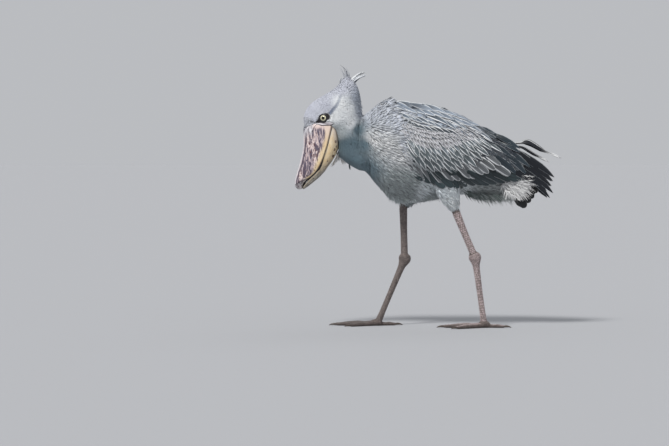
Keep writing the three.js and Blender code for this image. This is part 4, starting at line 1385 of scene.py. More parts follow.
# ------------------------------------------------------------------ short feathers over the root of the ridge
def bill_at(T, A):
    """Points of the upper bill, its outward normals and k, for places along and round it."""
    def at(T, A):
        ay, az, my, mz, half = np.moveaxis(along(UPPER_ROWS, T), -1, 0)
        sn_, cs_ = np.sin(A), spow(np.cos(A), 0.8)
        k = spow(sn_, 0.8)
        return np.stack([half * cs_, my + (ay - my) * k, mz + (az - mz) * k], -1), k
    p, k = at(T, A)
    dT = at(T + 0.01, A)[0] - at(T - 0.01, A)[0]
    dA = at(T, A + 0.02)[0] - at(T, A - 0.02)[0]
    n = unit(np.cross(dT, dA))
    n = n * np.where((n[..., 1:2] * 1.0 + 0) > 0, -1, 1)
    return p, n, k


def front_of(x, z):
    """The forehead's surface met from the front, in source millimetres."""
    out = np.full((len(x), 3), np.nan)
    for i, c in enumerate(mm(np.stack([x, np.full(len(x), -600.0), z], 1)).tolist()):
        loc, _, _, _ = guide.ray_cast(c, (0, 1, 0))
        if loc is not None:
            out[i] = loc
    return raw(out)


g = np.random.default_rng(201)
N_F, K_F = 3600, 5
A_ = np.pi / 2 + np.clip(g.normal(size=N_F) * 0.55, -1.05, 1.05)
edge_, _, k_ = bill_at(np.full(N_F, 0.004), A_)
reach = 0.180 - 0.100 * (np.abs(A_ - np.pi / 2) / 1.05) ** 1.3
meet = 0.058 + 0.044 * (1 - (np.abs(A_ - np.pi / 2) / 1.05) ** 2)
# a path for each feather: off the forehead, across the step to the horn, then along it
U = np.linspace(0, 1, 25)
path = np.empty((N_F, 25, 3))
out_ = np.empty((N_F, 25, 3))
brow_ = front_of(edge_[:, 0] * 0.97, edge_[:, 2] + g.uniform(5.0, 16.0, N_F))
brow_ = np.where(np.isnan(brow_), edge_ + np.array([0, -1.0, 6.0]), brow_)
brow_n = unit(np.stack([edge_[:, 0] / 30, np.full(N_F, -1.0), np.full(N_F, 0.10)], 1))
land_, land_n, _ = bill_at(meet, A_)
for j, u in enumerate(U):
    if u < 0.42:
        w = u / 0.42
        path[:, j] = brow_ * (1 - w) + land_ * w
        path[:, j, 1] -= 0.8 * math.sin(math.pi * w)
        path[:, j, 1] = np.fmin(path[:, j, 1], front_of(path[:, j, 0], path[:, j, 2])[:, 1])
        out_[:, j] = unit(brow_n * (1 - w) + land_n * w)
    else:
        p, n, _ = bill_at(meet + np.maximum(reach - meet, 0.01) * (u - 0.42) / 0.58, A_)
        path[:, j] = p
        out_[:, j] = n
u0 = g.uniform(0.0, 0.66, N_F) ** 1.0
u1 = np.minimum(u0 + g.uniform(0.22, 0.34, N_F), 1.0)
uu_ = (u0[:, None] + (u1 - u0)[:, None] * np.linspace(0, 1, K_F + 1)[None]) * 24
i0 = np.clip(np.floor(uu_).astype(int), 0, 23)
fr = (uu_ - i0)[..., None]
rows_ = np.arange(N_F)[:, None]
P_ = path[rows_, i0] * (1 - fr) + path[rows_, i0 + 1] * fr
n_ = unit(out_[rows_, i0] * (1 - fr) + out_[rows_, i0 + 1] * fr)
P_[..., 0] += (0.7 * g.normal(size=(N_F, 1))) * np.linspace(0, 1, K_F + 1)[None]
h_ = (-1.3 + 2.0 * np.linspace(0, 1, K_F + 1) ** 0.8)[None] + g.uniform(0, 0.5, (N_F, 1)) + 1.6 * np.clip(1.3 - uu_ / 10.0, 0, 1) * np.linspace(0, 1, K_F + 1)[None] ** 0.5
streaks = np.where((g.random(N_F) < 0.30) & (u0 > 0.40), 0.34, 1.0)[:, None]
fringe_col = linear((200, 203, 213)) * g.uniform(0.84, 1.14, (N_F, 1)) * streaks
ob = build_vanes("coat_bill_root", mm(P_ + n_ * h_[..., None]), n_, g.uniform(1.6, 2.7, N_F),
                 np.array([0.5, 0.9, 1.0, 0.9, 0.6, 0.05]), fringe_col, np.full(N_F, 0.15), material=MAT_SOFT, normal_mix=0.6)

# ------------------------------------------------------------------ wings
# how far out the closed flight feathers reach behind the wing, by place along the bird
FLIGHT_OUT = np.array([[240, 66], [262, 72], [306, 75], [355, 64], [400, 50], [432, 37], [447, 29], [490, 22]])
STATIONS = np.array([0, .12, .26, .42, .58, .72, .83, .91, .96, .987, 1.0])
K_BIG = len(STATIONS) - 1


def side_surface(sgn, y, z):
    """The outermost plumage seen from one side, at source places y, z: x outwards and the facing."""
    shape = y.shape
    yf, zf = y.ravel(), z.ravel()
    X = np.full(len(yf), np.nan)
    idx = np.zeros(len(yf), int)
    hit = np.zeros((len(yf), 3))
    pts = mm(np.stack([np.full(len(yf), 300.0 * sgn), yf, zf], 1))
    for i, c in enumerate(pts.tolist()):
        loc, _, k, _ = guide.ray_cast(c, (-sgn, 0, 0))
        if loc is not None:
            X[i] = loc.x * 1000 * sgn
            idx[i] = k
            hit[i] = loc
    corners = gq[idx]
    w = 1 / (((gv[corners] - hit[:, None]) ** 2).sum(-1) + 1e-7)
    n = unit((gns[corners] * w[..., None]).sum(1))
    xp = np.where(yf > 240, np.interp(yf, FLIGHT_OUT[:, 0], FLIGHT_OUT[:, 1]), -1)
    use = np.isnan(X) | (X < xp)
    n[use] = unit(np.array([sgn * 0.96, 0.20, 0.18]))
    X = np.where(use, np.where(xp > 0, xp, np.nan), X)
    X = X.reshape(shape)
    for r in range(shape[0]):
        row = X[r]
        bad = np.isnan(row)
        if bad.any():
            ok = np.where(~bad)[0]
            row[bad] = np.interp(np.where(bad)[0], ok, row[ok]) if len(ok) else 30.0
    return X, n.reshape(shape + (3,))


def side_vanes(sgn, tips, alpha, length, bend, h0, h1, seed, smooth_x=2, jitter=1.0, tuck=0.0):
    """Shafts laid on one side from roots to tips; tips in side-view places, alpha in degrees below the tail's direction."""
    g = np.random.default_rng(seed)
    tips = np.asarray(tips, float)
    N = len(tips)
    alpha = np.broadcast_to(np.asarray(alpha, float), (N,)) + jitter * g.normal(size=N) * 2.0
    length = np.broadcast_to(np.asarray(length, float), (N,))
    y, z = px(tips[:, 0] + jitter * g.normal(size=N) * 0.35, tips[:, 1] + jitter * g.normal(size=N) * 0.35)
    s = STATIONS
    bend = np.broadcast_to(np.asarray(bend, float), (N,))
    ang = np.radians(alpha[:, None] + bend[:, None] * (s[None] - 1))
    ds = np.diff(s)[None] * length[:, None]
    mid = (ang[:, 1:] + ang[:, :-1]) / 2
    dy, dz = np.cos(mid) * ds, -np.sin(mid) * ds
    Y = y[:, None] - np.concatenate([np.cumsum(dy[:, ::-1], 1)[:, ::-1], np.zeros((N, 1))], 1)
    Z = z[:, None] - np.concatenate([np.cumsum(dz[:, ::-1], 1)[:, ::-1], np.zeros((N, 1))], 1)
    X, n = side_surface(sgn, Y, Z)
    if tuck:
        X = X * (1 - tuck * smooth(0.30, 0.0, s)[None])
    V = np.stack([s ** k for k in range(smooth_x + 1)], 1)
    X = X @ np.linalg.pinv(V).T @ V.T
    n = unit(n * 0.4 + n.mean(1, keepdims=True) * 0.6)
    P = np.stack([X * sgn, Y, Z], -1)
    h0 = np.broadcast_to(np.asarray(h0, float), (N,))[:, None]
    h1 = np.broadcast_to(np.asarray(h1, float), (N,))[:, None]
    h = h0 + (h1 - h0) * s[None] ** 0.8 + jitter * g.normal(size=(N, 1)) * 0.25
    return mm(P + n * h[..., None]), n


def rounded(point=0.72, root=0.5, tip=0.06):
    """A vane with a blunt oval end."""
    s = STATIONS
    q = np.clip((s - point) / (1 - point), 0, 1)
    return (root + (1 - root) * smooth(0, 0.40, s)) * np.maximum(np.clip(1 - q ** 2.0, 0, 1) ** 0.58, tip * (s < 1) + 0.03)


def leaf(full=0.46, root=0.45, sharp=0.86, tip=0.05):
    """A vane widest in its middle, narrowing to a soft point."""
    s = STATIONS
    q = np.clip((s - full) / (1 - full), 0, 1)
    return (root + (1 - root) * smooth(0, full, s)) * np.maximum(np.clip(1 - q ** 2.1, 0, 1) ** sharp, tip * (s < 1) + 0.02)


def pointed(root=0.5, full=0.5, sharp=1.1):
    s = STATIONS
    return (root + (1 - root) * smooth(0, 0.35, s)) * np.maximum((1 - np.clip((s - full) / (1 - full), 0, 1) ** 1.7) ** sharp, 0.03)


def lie_down(x):
    """The slope of the wing's feathers below the tail's direction, by side-view place."""
    return np.interp(x, [398, 410, 440, 470, 500, 520], [70, 65, 55, 50, 39, 34])


def spaced(points, count):
    """Evenly spaced places along a line through the points."""
    p = np.asarray(points, float)
    s = np.concatenate([[0], np.cumsum(np.linalg.norm(np.diff(p, axis=0), axis=1))])
    u = np.linspace(0, s[-1], count)
    return np.stack([np.interp(u, s, p[:, 0]), np.interp(u, s, p[:, 1])], 1)


# Rows of the wing: tips in the side view, length, width (mm), height of the tips, colour, rim
GREATER = [(413.8, 173.2), (418.5, 175.5), (424, 178.8), (431.5, 182), (441.4, 183.6), (451.5, 181), (458, 179.8), (468.5, 177.3), (474, 177.4),
           (482, 173.6), (486.5, 173), (493, 169.2), (499, 164.6), (509.5, 175.3)]
MEDIAN = [(413.5, 158), (419.5, 165.3), (425, 168.7), (433.2, 170.9), (440, 171.9), (450.6, 171.9), (455.4, 170.2),
          (461.3, 168.3), (468, 165.6), (474.4, 165.6), (480.5, 160.5), (487, 155.5), (501.5, 152.6)]
MEDIAN_2 = [(412.5, 151), (418, 156.5), (423, 159.5), (429, 161.6), (435.5, 162.5), (442, 162.4), (449, 161.2),
            (456, 160.8), (462, 159.6), (467.5, 156), (473, 152), (480, 149.5), (489.5, 148)]
MEDIAN_3 = spaced([(409, 144.5), (416, 149.5), (425, 153.6), (438, 155.2), (450, 153.4), (460, 151), (470, 146.2),
                   (482, 142.5), (491, 142.5)], 16)
LESSER = [
    (spaced([(406, 138.5), (414, 144), (426, 148.6), (440, 149.4), (454, 146.6), (468, 141), (484, 138)], 21), 40, 14),
    (spaced([(403, 133), (412, 138.6), (426, 143.2), (440, 144.2), (455, 141.4), (469, 136.6), (483, 134)], 24), 34, 12.5),
    (spaced([(404, 128.5), (412, 133.2), (426, 138.0), (440, 139.4), (455, 137), (468, 133), (480, 131)], 26), 30, 11.5),
    (spaced([(409, 128.6), (418, 132), (430, 134.8), (444, 135.2), (458, 132.6), (472, 129.6)], 26), 28, 11),
]
def between(tips, back, slope=None):
    """Places between a row's tips, drawn back along the feathers' lie (pixels)."""
    t = np.asarray(tips, float)
    m = (t[1:] + t[:-1]) / 2
    a = np.radians(lie_down(m[:, 0]) if slope is None else slope)
    return m - back * np.stack([np.cos(a) * np.ones(len(m)), np.sin(a) * np.ones(len(m))], 1)


WING_TONE = {"grey": linear((116, 120, 124)), "slate": linear((86, 95, 99)), "blue": linear((100, 110, 117)),
             "light": linear((126, 137, 151)), "mid": linear((92, 103, 115)), "dark": linear((52, 62, 72)),
             "lesser": linear((152, 152, 158)), "flight": linear((22, 26, 33)), "second": linear((50, 62, 66)),
             "tertial": linear((44, 55, 63))}
# tips, length, width, slope at the tip, bend, rim, tone
SCAPULARS = [
    (spaced([(414, 126), (424, 129.8), (436, 132.6), (446, 134.2), (455, 135.2)], 8), 62, 21, 30, 12, .9, "dark"),
    (spaced([(410, 119.5), (421, 123.2), (432, 125.6), (441, 128.2)], 6), 74, 22, 33, 18, .9, "mid"),
    ([(447.2, 126.2), (455, 130.2), (461, 128.2), (467, 131), (472, 127.8), (480, 134), (490, 141.5)], 104, 26, 43, 32, .95,
     "mid"),
    (spaced([(406, 112.5), (420, 115.4), (434, 117.2), (446, 119.5), (459, 123), (470, 127), (480, 132)], 9),
     92, 27, 34, 22, .8, "light"),
    (spaced([(410, 109.0), (426, 111.0), (442, 113.4), (456, 117), (468, 121.6), (478, 126.8)], 7),
     96, 27, 28, 14, .6, "light"),
]


def wing_feathers(sgn):
    parts = []

    def add(tips, length, width, h0, h1, tone, rim, seed, bend=9.0, turn=0.0, alpha=None, prof=None, roll=0.10,
            vary=0.10, smooth_x=2, cam=0.10, dark_root_and_shade=0.62, tuck=0.0):
        tips = np.asarray(tips, float)
        a = lie_down(tips[:, 0]) + turn if alpha is None else alpha
        g = np.random.default_rng(seed + (0 if sgn > 0 else 500))
        N = len(tips)
        L = np.asarray(length, float) * g.uniform(0.94, 1.06, N)
        P, n = side_vanes(sgn, tips, a, L, bend, h0, h1, seed + (0 if sgn > 0 else 500), smooth_x, tuck=tuck)
        W = np.asarray(width, float) * g.uniform(0.9, 1.1, N)
        col = np.broadcast_to(tone, (N, 3)) * (1 + vary * g.normal(size=(N, 1)))
        parts.append((P, n, W, np.broadcast_to(leaf() if prof is None else prof, (N, K_BIG + 1)), col,
                      np.full(N, rim) * g.uniform(0.8, 1.0, N), sgn * roll * (1 + 0.4 * g.normal(size=N)),
                      np.full(N, cam), np.full(N, dark_root_and_shade)))

    add(GREATER, 84, 28, -5.0, 1.4, WING_TONE["grey"] * 0.84, 0.9, 300, prof=rounded(0.62))
    add(between(MEDIAN, 5.0), 84, 22, -5.0, 1.7, WING_TONE["slate"] * 0.95, 1.0, 312)
    add(MEDIAN, 84, 23, -4.6, 2.3, WING_TONE["slate"], 1.0, 310)
    add(between(MEDIAN_2, 4.4), 66, 18, -4.4, 2.6, WING_TONE["slate"] * 1.05, 1.0, 322)
    add(MEDIAN_2, 68, 20, -4.2, 3.1, WING_TONE["slate"] * 1.12, 1.0, 320)
    add(MEDIAN_3, 52, 15, -4.0, 3.3, WING_TONE["blue"] * 1.1, 1.0, 330)
    for i, (tips, length, width) in enumerate(LESSER):
        add(tips, length, width, -4.0, 3.5 + 0.2 * i, WING_TONE["lesser"], 0.8, 340 + i, bend=6, vary=0.16, dark_root_and_shade=0.40)
    for i, (tips, length, width, alpha, bend, rim, tone) in enumerate(SCAPULARS):
        add(tips, length, width, -3.5, 4.0 + 0.5 * i, WING_TONE[tone], rim, 360 + i, alpha=alpha, bend=bend,
            roll=-0.06, dark_root_and_shade=0.5)
    soft = parts
    parts = []
    # long inner flight feathers over the rump, then the secondaries and the black primaries
    add([(509.5, 176), (517, 174), (526.5, 175.4), (529.5, 167.2), (521, 167), (512, 158), (519, 152.5)],
        [118, 128, 138, 132, 128, 120, 120], 24, -4.0, [0.6, 0.9, 1.2, 1.5, 1.3, 1.6, 1.8], WING_TONE["tertial"], 0.85, 400,
        alpha=np.array([50, 49, 48, 43, 45, 42, 38]), bend=14, prof=pointed(0.5, 0.55, 0.9), roll=0.05)
    add([(488, 133), (494, 139.5), (499, 137.5), (504, 145.5), (509, 143.5), (513, 150), (519, 149)],
        [92, 96, 100, 106, 108, 112, 112], 21, -3.0, [3.0, 2.8, 3.2, 2.8, 3.2, 2.8, 2.8], WING_TONE["tertial"] * 1.35, 0.8, 404,
        alpha=np.array([33, 36, 32, 38, 33, 38, 35]), bend=10, prof=pointed(0.5, 0.5, 0.9), roll=0.02)
    add(spaced([(422, 180.0), (432, 184), (443, 186.4), (460, 186.6), (475, 185.6), (490, 184.2), (507, 181.8), (525, 178.2)],
               15), 120, 30, -5.0, 0.7, WING_TONE["second"], 0.30, 410, bend=14, turn=-8, roll=0.07,
        prof=rounded(0.80))
    first = np.array([(554, 176.8), (553, 181), (551.5, 186), (553.3, 192.7), (549, 197.6), (546, 190.5), (541, 188.0),
                      (537, 184), (545, 175), (548.5, 183)])
    root = np.array([(501, 143.5), (501, 145.5), (501, 147.5), (500, 149), (498, 152), (497, 153), (495, 155), (492, 157),
                     (497, 143.5), (499, 147)])
    d = first - root
    L = np.hypot(d[:, 0], d[:, 1]) * 3.6
    mean = np.degrees(np.arctan2(d[:, 1], d[:, 0]))
    bend = np.array([22, 20, 18, 16, 14, 14, 14, 12, 20, 18.0])
    add(first, L, 26, [-14, -13, -12, -12, -11, -10, -10, -9, -15, -12],
        [-3.6, -3, -2.4, -3, -4, -2, -1.4, -0.8, -4.2, -2.2], WING_TONE["flight"], 0.40, 420,
        alpha=mean + bend / 2, bend=bend, prof=pointed(0.42, 0.66, 0.8), roll=0.05, vary=0.2, tuck=0.35)
    return soft, parts


def build_big(name, parts, material, M=7, thick=0.5):
    cat = [np.concatenate([p[i] for p in parts]) for i in range(9)]
    P, n, W, prof, col, rim, roll, cam, dark_root_and_shade = cat
    t = STATIONS
    # the vanes darken towards their roots: partly their own darker bases, partly painted shade under the feathers that
    # overlap them
    shade = dark_root_and_shade[:, None] + (1.05 - dark_root_and_shade[:, None]) * smooth(0.25, 0.9, t)[None]
    return build_vanes(name, P, n, W, prof, col[:, None] * shade[..., None], rim, roll=roll, camber=cam, M=M,
                       thick=thick, material=material, stations=t)


for s, sgn in (("left", 1), ("right", -1)):
    soft, hard = wing_feathers(sgn)
    ob = build_big("coverts_" + s, soft, MAT_COVERT)
    ob = build_big("flight_" + s, hard, MAT_FLIGHT, thick=0.6)
    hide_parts("primaries_" + s)

# ------------------------------------------------------------------ tail
TAIL_ROOT, TAIL_END = np.array([232.0, 604.0]), np.array([390.0, 490.0])


def tail_point(a, t):
    d = TAIL_END - TAIL_ROOT
    length = np.hypot(*d)
    d = d / length
    half = along(np.array([[18], [32], [46], [56], [62], [66], [64]], float), t)[..., 0]
    x = half * a
    lift = -92 * (0.35 + 0.65 * t) * (x / 66) ** 2
    return np.stack([x, TAIL_ROOT[0] + d[0] * t * length - d[1] * lift, TAIL_ROOT[1] + d[1] * t * length + d[0] * lift], -1)


g = np.random.default_rng(61)
pos_a = np.array([-0.93, -0.76, -0.59, -0.42, -0.25, -0.085, 0.085, 0.25, 0.42, 0.59, 0.76, 0.93])
tt = 0.10 + 0.90 * STATIONS
A = pos_a[:, None] * (0.80 + 0.20 * STATIONS[None]) + 0 * tt[None]
T_ = np.broadcast_to(tt[None] * (1.0 + g.uniform(-0.03, 0.02, (12, 1)) - 0.03 * np.abs(pos_a[:, None]) ** 3), A.shape)
P = tail_point(A, np.clip(T_, 0, 1.0))
e = 0.02
da = tail_point(A + e, np.clip(T_, 0, 1)) - tail_point(A - e, np.clip(T_, 0, 1))
dt = tail_point(A, np.clip(T_ + 0, 0, 0.98) + 0.02) - tail_point(A, np.clip(T_, 0, 0.98))
n = unit(np.cross(da, dt))
n = n * np.sign(n[..., 2:3] + 1e-9)
order = 1.6 * (1 - np.abs(pos_a)) * 2 - 1.2
P = P + n * (order[:, None, None] + 0.0)
tail_tone = linear((22, 24, 27))
ob = build_vanes("tail_feathers", mm(P), n, np.full(12, 33.0), rounded(0.90, 0.6),
                 np.broadcast_to(tail_tone, (12, 3)) * g.uniform(0.8, 1.25, (12, 1)), np.full(12, 0.05),
                 roll=-0.05 * np.sign(pos_a), camber=0.05, M=7, thick=0.6, material=MAT_FLIGHT, stations=STATIONS)
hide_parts("tail")

# ------------------------------------------------------------------ crest and loose plumes
CREST = {
    # path rows x, y, z, spread sideways and along the bird; count, ends, width, colour, rim
    "front": [([[0, -300, 862, 8, 15], [0, -300, 888, 6, 13], [0, -302, 908, 4.5, 11], [0, -307, 928, 4, 11],
                [0, -312, 942, 4, 12]], 24, (0.5, 0.95), 2.2, (176, 180, 189), 0.3),
              ([[2, -297, 876, 1, 2], [2, -297, 900, 1, 1.6], [1, -300, 917, 0.8, 1.2], [-1, -310, 932, 0.6, 0.8],
                [-1, -325, 944, 0.2, 0.3]], 4, (0.96, 1.0), 1.9, (66, 70, 84), 0.0),
              ([[0, -304, 858, 9, 15], [0, -302, 878, 7, 14], [0, -302, 893, 5, 11], [0, -303, 905, 3, 8]],
               44, (0.55, 1.0), 4.0, (196, 200, 208), 0.5)],
    "back": [([[5, -300, 866, 6, 8], [6, -286, 886, 4, 4.5], [7, -267, 903, 3, 3.4], [7, -251, 912.5, 2, 2.2],
               [7, -235, 915.5, 0.5, 0.6]], 34, (0.62, 1.0), 5.0, (232, 235, 240), 0.9),
             ([[6, -292, 866, 6, 6], [7, -272, 886, 4, 3], [8, -252, 899, 3, 2], [8, -238, 905, 1.6, 1.2],
               [8, -229, 911, 0.5, 0.6]], 28, (0.62, 1.0), 4.6, (214, 218, 225), 0.8),
             ([[9, -284, 868, 4, 4], [9, -262, 889, 3, 1.6], [9, -247, 900, 1.4, 0.8], [9, -240, 904, 0.6, 0.4]],
              5, (0.8, 1.0), 3.0, (58, 64, 78), 0.0),
             ([[6, -297, 866, 6, 9], [6.5, -281, 884, 4, 6], [7, -262, 898, 3, 4], [7.5, -246, 906, 2, 2.2]],
              44, (0.5, 0.97), 5.5, (214, 218, 226), 0.5),
             ([[3, -304, 858, 10, 13], [4, -292, 874, 8, 9], [6, -280, 888, 5, 5], [7, -268, 897, 3, 3]],
              34, (0.6, 1.0), 5.0, (206, 210, 217), 0.6)],
    "mid": [([[-6, -300, 860, 9, 14], [-7, -298, 884, 6, 11], [-8, -297, 902, 5, 9], [-8, -297, 922, 3, 8]],
             16, (0.5, 1.0), 2.0, (176, 181, 190), 0.4),
            ([[8, -320, 862, 6, 7], [10, -322, 880, 4, 4], [11, -321, 892, 2, 2], [12, -318, 901, 0.6, 0.6]],
             14, (0.5, 1.0), 2.6, (206, 209, 216), 0.5)],
}


def strands(rows, count, ends, width, seed, K=9, flare=1.0):
    """Thin blades that follow a path of rows x, y, z, spread sideways, spread along the bird."""
    g = np.random.default_rng(seed)
    rows = np.asarray(rows, float)
    stop = g.uniform(*ends, count)
    stop[0] = ends[1]
    s = np.linspace(0, 1, K + 1)
    T = s[None] * stop[:, None]
    c = along(rows, T)
    ang = g.uniform(0, 2 * np.pi, count)
    rad = np.sqrt(g.uniform(0.02, 1.0, count)) * flare
    off = np.stack([np.cos(ang) * rad, np.sin(ang) * rad], 1)
    wave = 1 + 0.25 * np.sin(s[None] * g.uniform(2, 5, (count, 1)) + g.uniform(0, 6, (count, 1)))
    P = c[..., :3].copy()
    P[..., 0] += off[:, None, 0] * c[..., 3] * wave
    P[..., 1] += off[:, None, 1] * c[..., 4] * wave
    side = g.choice([-1, 1], count)
    F = np.stack([0.9 * side, 0.3 * g.normal(size=count), 0.3 * g.normal(size=count)], 1)
    F = np.broadcast_to(unit(F)[:, None], P.shape)
    W = width * g.uniform(0.7, 1.25, count)
    return mm(P), F, W, stop


for key, bunches in CREST.items():
    got = []
    for i, (rows, count, ends, width, colour, rim) in enumerate(bunches):
        P, F, W, stop = strands(rows, count, ends, width, 71 + len(key) + 10 * i)
        g = np.random.default_rng(72 + i)
        s = np.linspace(0, 1, P.shape[1])
        if key == "back" and i < 2:
            splay = g.normal(size=(count, 2)) * np.array([3.0, 2.2])
            P = P + np.stack([splay[:, 0], 0 * splay[:, 0], splay[:, 1]], 1)[:, None] * (s ** 1.5)[None, :, None] / 1000
        if i == 0 and key == "front":
            # wisps: each bends its own way
            curl = g.normal(size=(count, 2)) * np.array([5.0, 7.0])
            P = P + np.concatenate([curl, np.zeros((count, 1))], 1)[:, None] * (s ** 2)[None, :, None] / 1000
        col = np.broadcast_to(linear(colour), (count, 3)) * g.uniform(0.72, 1.15, (count, 1))
        got.append((P, F, W, col, np.full(count, rim), 0.4 * g.normal(size=count)))
    P, F, W, col, rim, roll = (np.concatenate([q[i] for q in got]) for i in range(6))
    prof = (0.75 + 0.25 * np.sin(np.pi * s)) * (1 - 0.93 * s ** 3)
    ob = build_vanes("crest_%s_plumes" % key, P, F, W, prof, col, rim, camber=0.18, roll=roll, material=MAT_PLUME)
    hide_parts("crest_" + key)

LOOSE = {
    "long": [[20, 256, 664, 3, 3], [24, 292, 662, 3, 3], [26, 325, 662, 3, 3], [26, 340, 666, 3, 3], [26, 362, 661, 3, 3],
             [26, 408, 634, 3, 3], [25, 440, 622, 3, 3], [24, 468, 610, 2, 2]],
    "short": [[-14, 296, 653, 3, 3], [-16, 335, 646, 3, 3], [-17, 372, 624, 3, 3], [-17, 400, 610, 3, 3], [-17, 427, 596, 2, 2]],
}
PLUME = {
    # stations along the feather: width of the web (mm), and how dark it is
    "long": ([0, .14, .30, .38, .46, .56, .68, .74, .80, .90, .97, 1.0], [5, 6, 7, 16, 24, 25, 18, 7, 5, 10, 8, .5],
             [.9, .95, .9, 1, 1, 1, 1, .9, .1, .0, .0, .0]),
    "short": ([0, .18, .35, .55, .66, .74, .84, .94, 1.0], [6, 10, 13, 12, 9, 9, 11, 8, .5], [.95, 1, 1, 1, .9, .1, .0, .0, .0]),
}
for key, rows in LOOSE.items():
    rows = np.asarray(rows, float)
    K = 22
    s = np.linspace(0, 1, K + 1)
    g = np.random.default_rng(81 + len(key))
    at_, wide_, dark_ = PLUME[key]
    width, k = np.interp(s, at_, wide_), np.interp(s, at_, dark_)
    dark, pale = linear((26, 28, 36)), linear((226, 227, 228))
    c = along(rows, s)[:, :3]
    # the web, a whitish line along its upper edge, then barbs that fray along the shaft
    P = np.stack([c, c + np.array([0.6, 0, -0.8]), c + np.stack([0 * s + 1.2, 0 * s, 0.30 * width + 0.9], 1)])
    F = np.broadcast_to(unit(np.array([0.85, -0.15, 0.5])), P.shape)
    prof = np.stack([width / width.max(), 0.8 * width / width.max(), 0.085 + 0 * s]) * np.where(s < 1, 1, 0.05)
    tone = pale[None] * (1 - k[:, None]) + dark[None] * k[:, None]
    edge_tone = pale[None] * (1 - 0.75 * smooth(0.62, 0.72, s) * smooth(0.85, 0.78, s))[:, None]
    web = build_vanes("plume_%s" % key, mm(P), F, np.full(3, width.max()), prof, np.stack([tone, tone * 0.9, edge_tone]),
                      np.zeros(3), camber=0.14, M=7, thick=0.45, roll=np.array([0.0, 0.3, 0.0]), material=MAT_PLUME)
    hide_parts("plume_" + key)
    n = 90 if key == "long" else 70
    at = np.sort(np.concatenate([g.uniform(0.02, 0.3, n // 4), g.uniform(0.60, 0.98, n - n // 4)]))
    root = along(rows, at)[:, :3]
    tan = unit(along(rows, np.minimum(at + 0.01, 1))[:, :3] - along(rows, np.maximum(at - 0.01, 0))[:, :3])
    away = unit(np.cross(tan, unit(g.normal(size=(n, 3)))))
    L = g.uniform(6, 14, n) * (1.0 if key == "long" else 0.85)
    s4 = np.linspace(0, 1, 5)
    P = root[:, None] + tan[:, None] * (L[:, None] * s4)[..., None] * 0.95 + away[:, None] * (L[:, None] * s4 * (1 - 0.4 * s4))[..., None] * 0.30
    P[..., 2] = np.minimum(P[..., 2], 676)
    P[..., 1] = np.minimum(P[..., 1], 474)
    kk = np.interp(at, s, k)
    col = pale[None] * (1 - kk[:, None]) + dark[None] * kk[:, None]
    ob = build_vanes("plume_%s_barbs" % key, mm(P), np.broadcast_to(unit(np.cross(tan, away))[:, None], P.shape),
                     g.uniform(1.0, 1.9, n), np.array([0.8, 1, 0.9, 0.6, 0.1]), col, np.zeros(n), camber=0.2, material=MAT_PLUME)


# ------------------------------------------------------------------ loose tufts of single feathers
def tuft(name, roots, tips, face, width, colour, seed, K=7, sag=0.0, spread=2.0, rim=0.0, vary=0.15, prof=None,
         curl=0.0, material=None):
    """Thin blades from roots to tips (N,3 in source mm), bowed downwards by sag of their length."""
    g = np.random.default_rng(seed)
    roots, tips = np.asarray(roots, float), np.asarray(tips, float)
    N = len(roots)
    tips = tips + g.normal(size=(N, 3)) * spread
    s = np.linspace(0, 1, K + 1)
    d = tips - roots
    L = np.linalg.norm(d, axis=1)
    P = roots[:, None] + d[:, None] * s[None, :, None]
    P[..., 2] += (4 * s * (1 - s))[None] * (sag * L)[:, None]
    if curl:
        P[..., 0] += np.sign(roots[:, :1]) * (4 * s * (1 - s))[None] * (curl * L)[:, None]
    F = np.broadcast_to(np.asarray(face, float), (N, 3)) if np.ndim(face) == 1 else np.asarray(face, float)
    F = unit(F + 0.25 * g.normal(size=(N, 3)))
    F = np.broadcast_to(F[:, None], P.shape)
    prof = 0.4 + 0.6 * np.sin(np.pi * np.clip(s * 0.9 + 0.08, 0, 1)) if prof is None else prof
    prof = prof * (1 - 0.95 * s ** 3)
    col = np.broadcast_to(colour, (N, 3)) * (1 + vary * g.normal(size=(N, 1)))
    ob = build_vanes(name, mm(P), F, width * g.uniform(0.7, 1.3, N), prof, col, np.full(N, rim), camber=0.18,
                     roll=0.4 * g.normal(size=N), material=material or MAT_PLUME)
    return ob


def side_points(x, pts):
    y, z = px(pts[:, 0], pts[:, 1])
    return np.stack([np.broadcast_to(x, y.shape), y, z], 1)


# white fluff under the tail
g = np.random.default_rng(91)
R_, T_ = [], []
for sgn in (1, -1):
    n = 640
    u = g.uniform(0, 2 * np.pi, n)
    r = np.sqrt(g.random(n))
    root = np.stack([509.5 + 10.5 * r * np.cos(u), 184.5 + 7.5 * r * np.sin(u)], 1)
    a = np.radians(g.normal(26, 30, n) + (root[:, 1] - 184.5) * 4.6)
    length = g.uniform(9, 19, n) * np.where(np.abs(a) > 1.1, 0.75, 1.0)
    tip = root + length[:, None] * np.stack([np.cos(a), np.sin(a)], 1)
    tip[:, 0] = np.minimum(tip[:, 0], 537.5 - 0.25 * np.abs(tip[:, 1] - 189))
    tip[:, 1] = np.clip(tip[:, 1], 175.5, 200.5)
    x0 = g.uniform(14, 60, n)
    x1 = x0 * 0.9 + g.uniform(6, 30, n)
    x1 = np.where(tip[:, 0] > 517, np.interp(tip[:, 0], [517, 525, 533, 540], [74, 74, 70, 64]) + 5 * g.random(n), x1)
    R_.append(side_points(x0 * sgn, root))
    T_.append(side_points(x1 * sgn, tip))
R_, T_ = np.concatenate(R_), np.concatenate(T_)
face = np.stack([np.sign(R_[:, 0]), np.zeros(len(R_)), 0.35 * np.ones(len(R_))], 1)
tuft("fluff_undertail", R_, T_, face, 3.4, linear((248, 248, 248)), 92, sag=0.06, vary=0.07, spread=1.5)

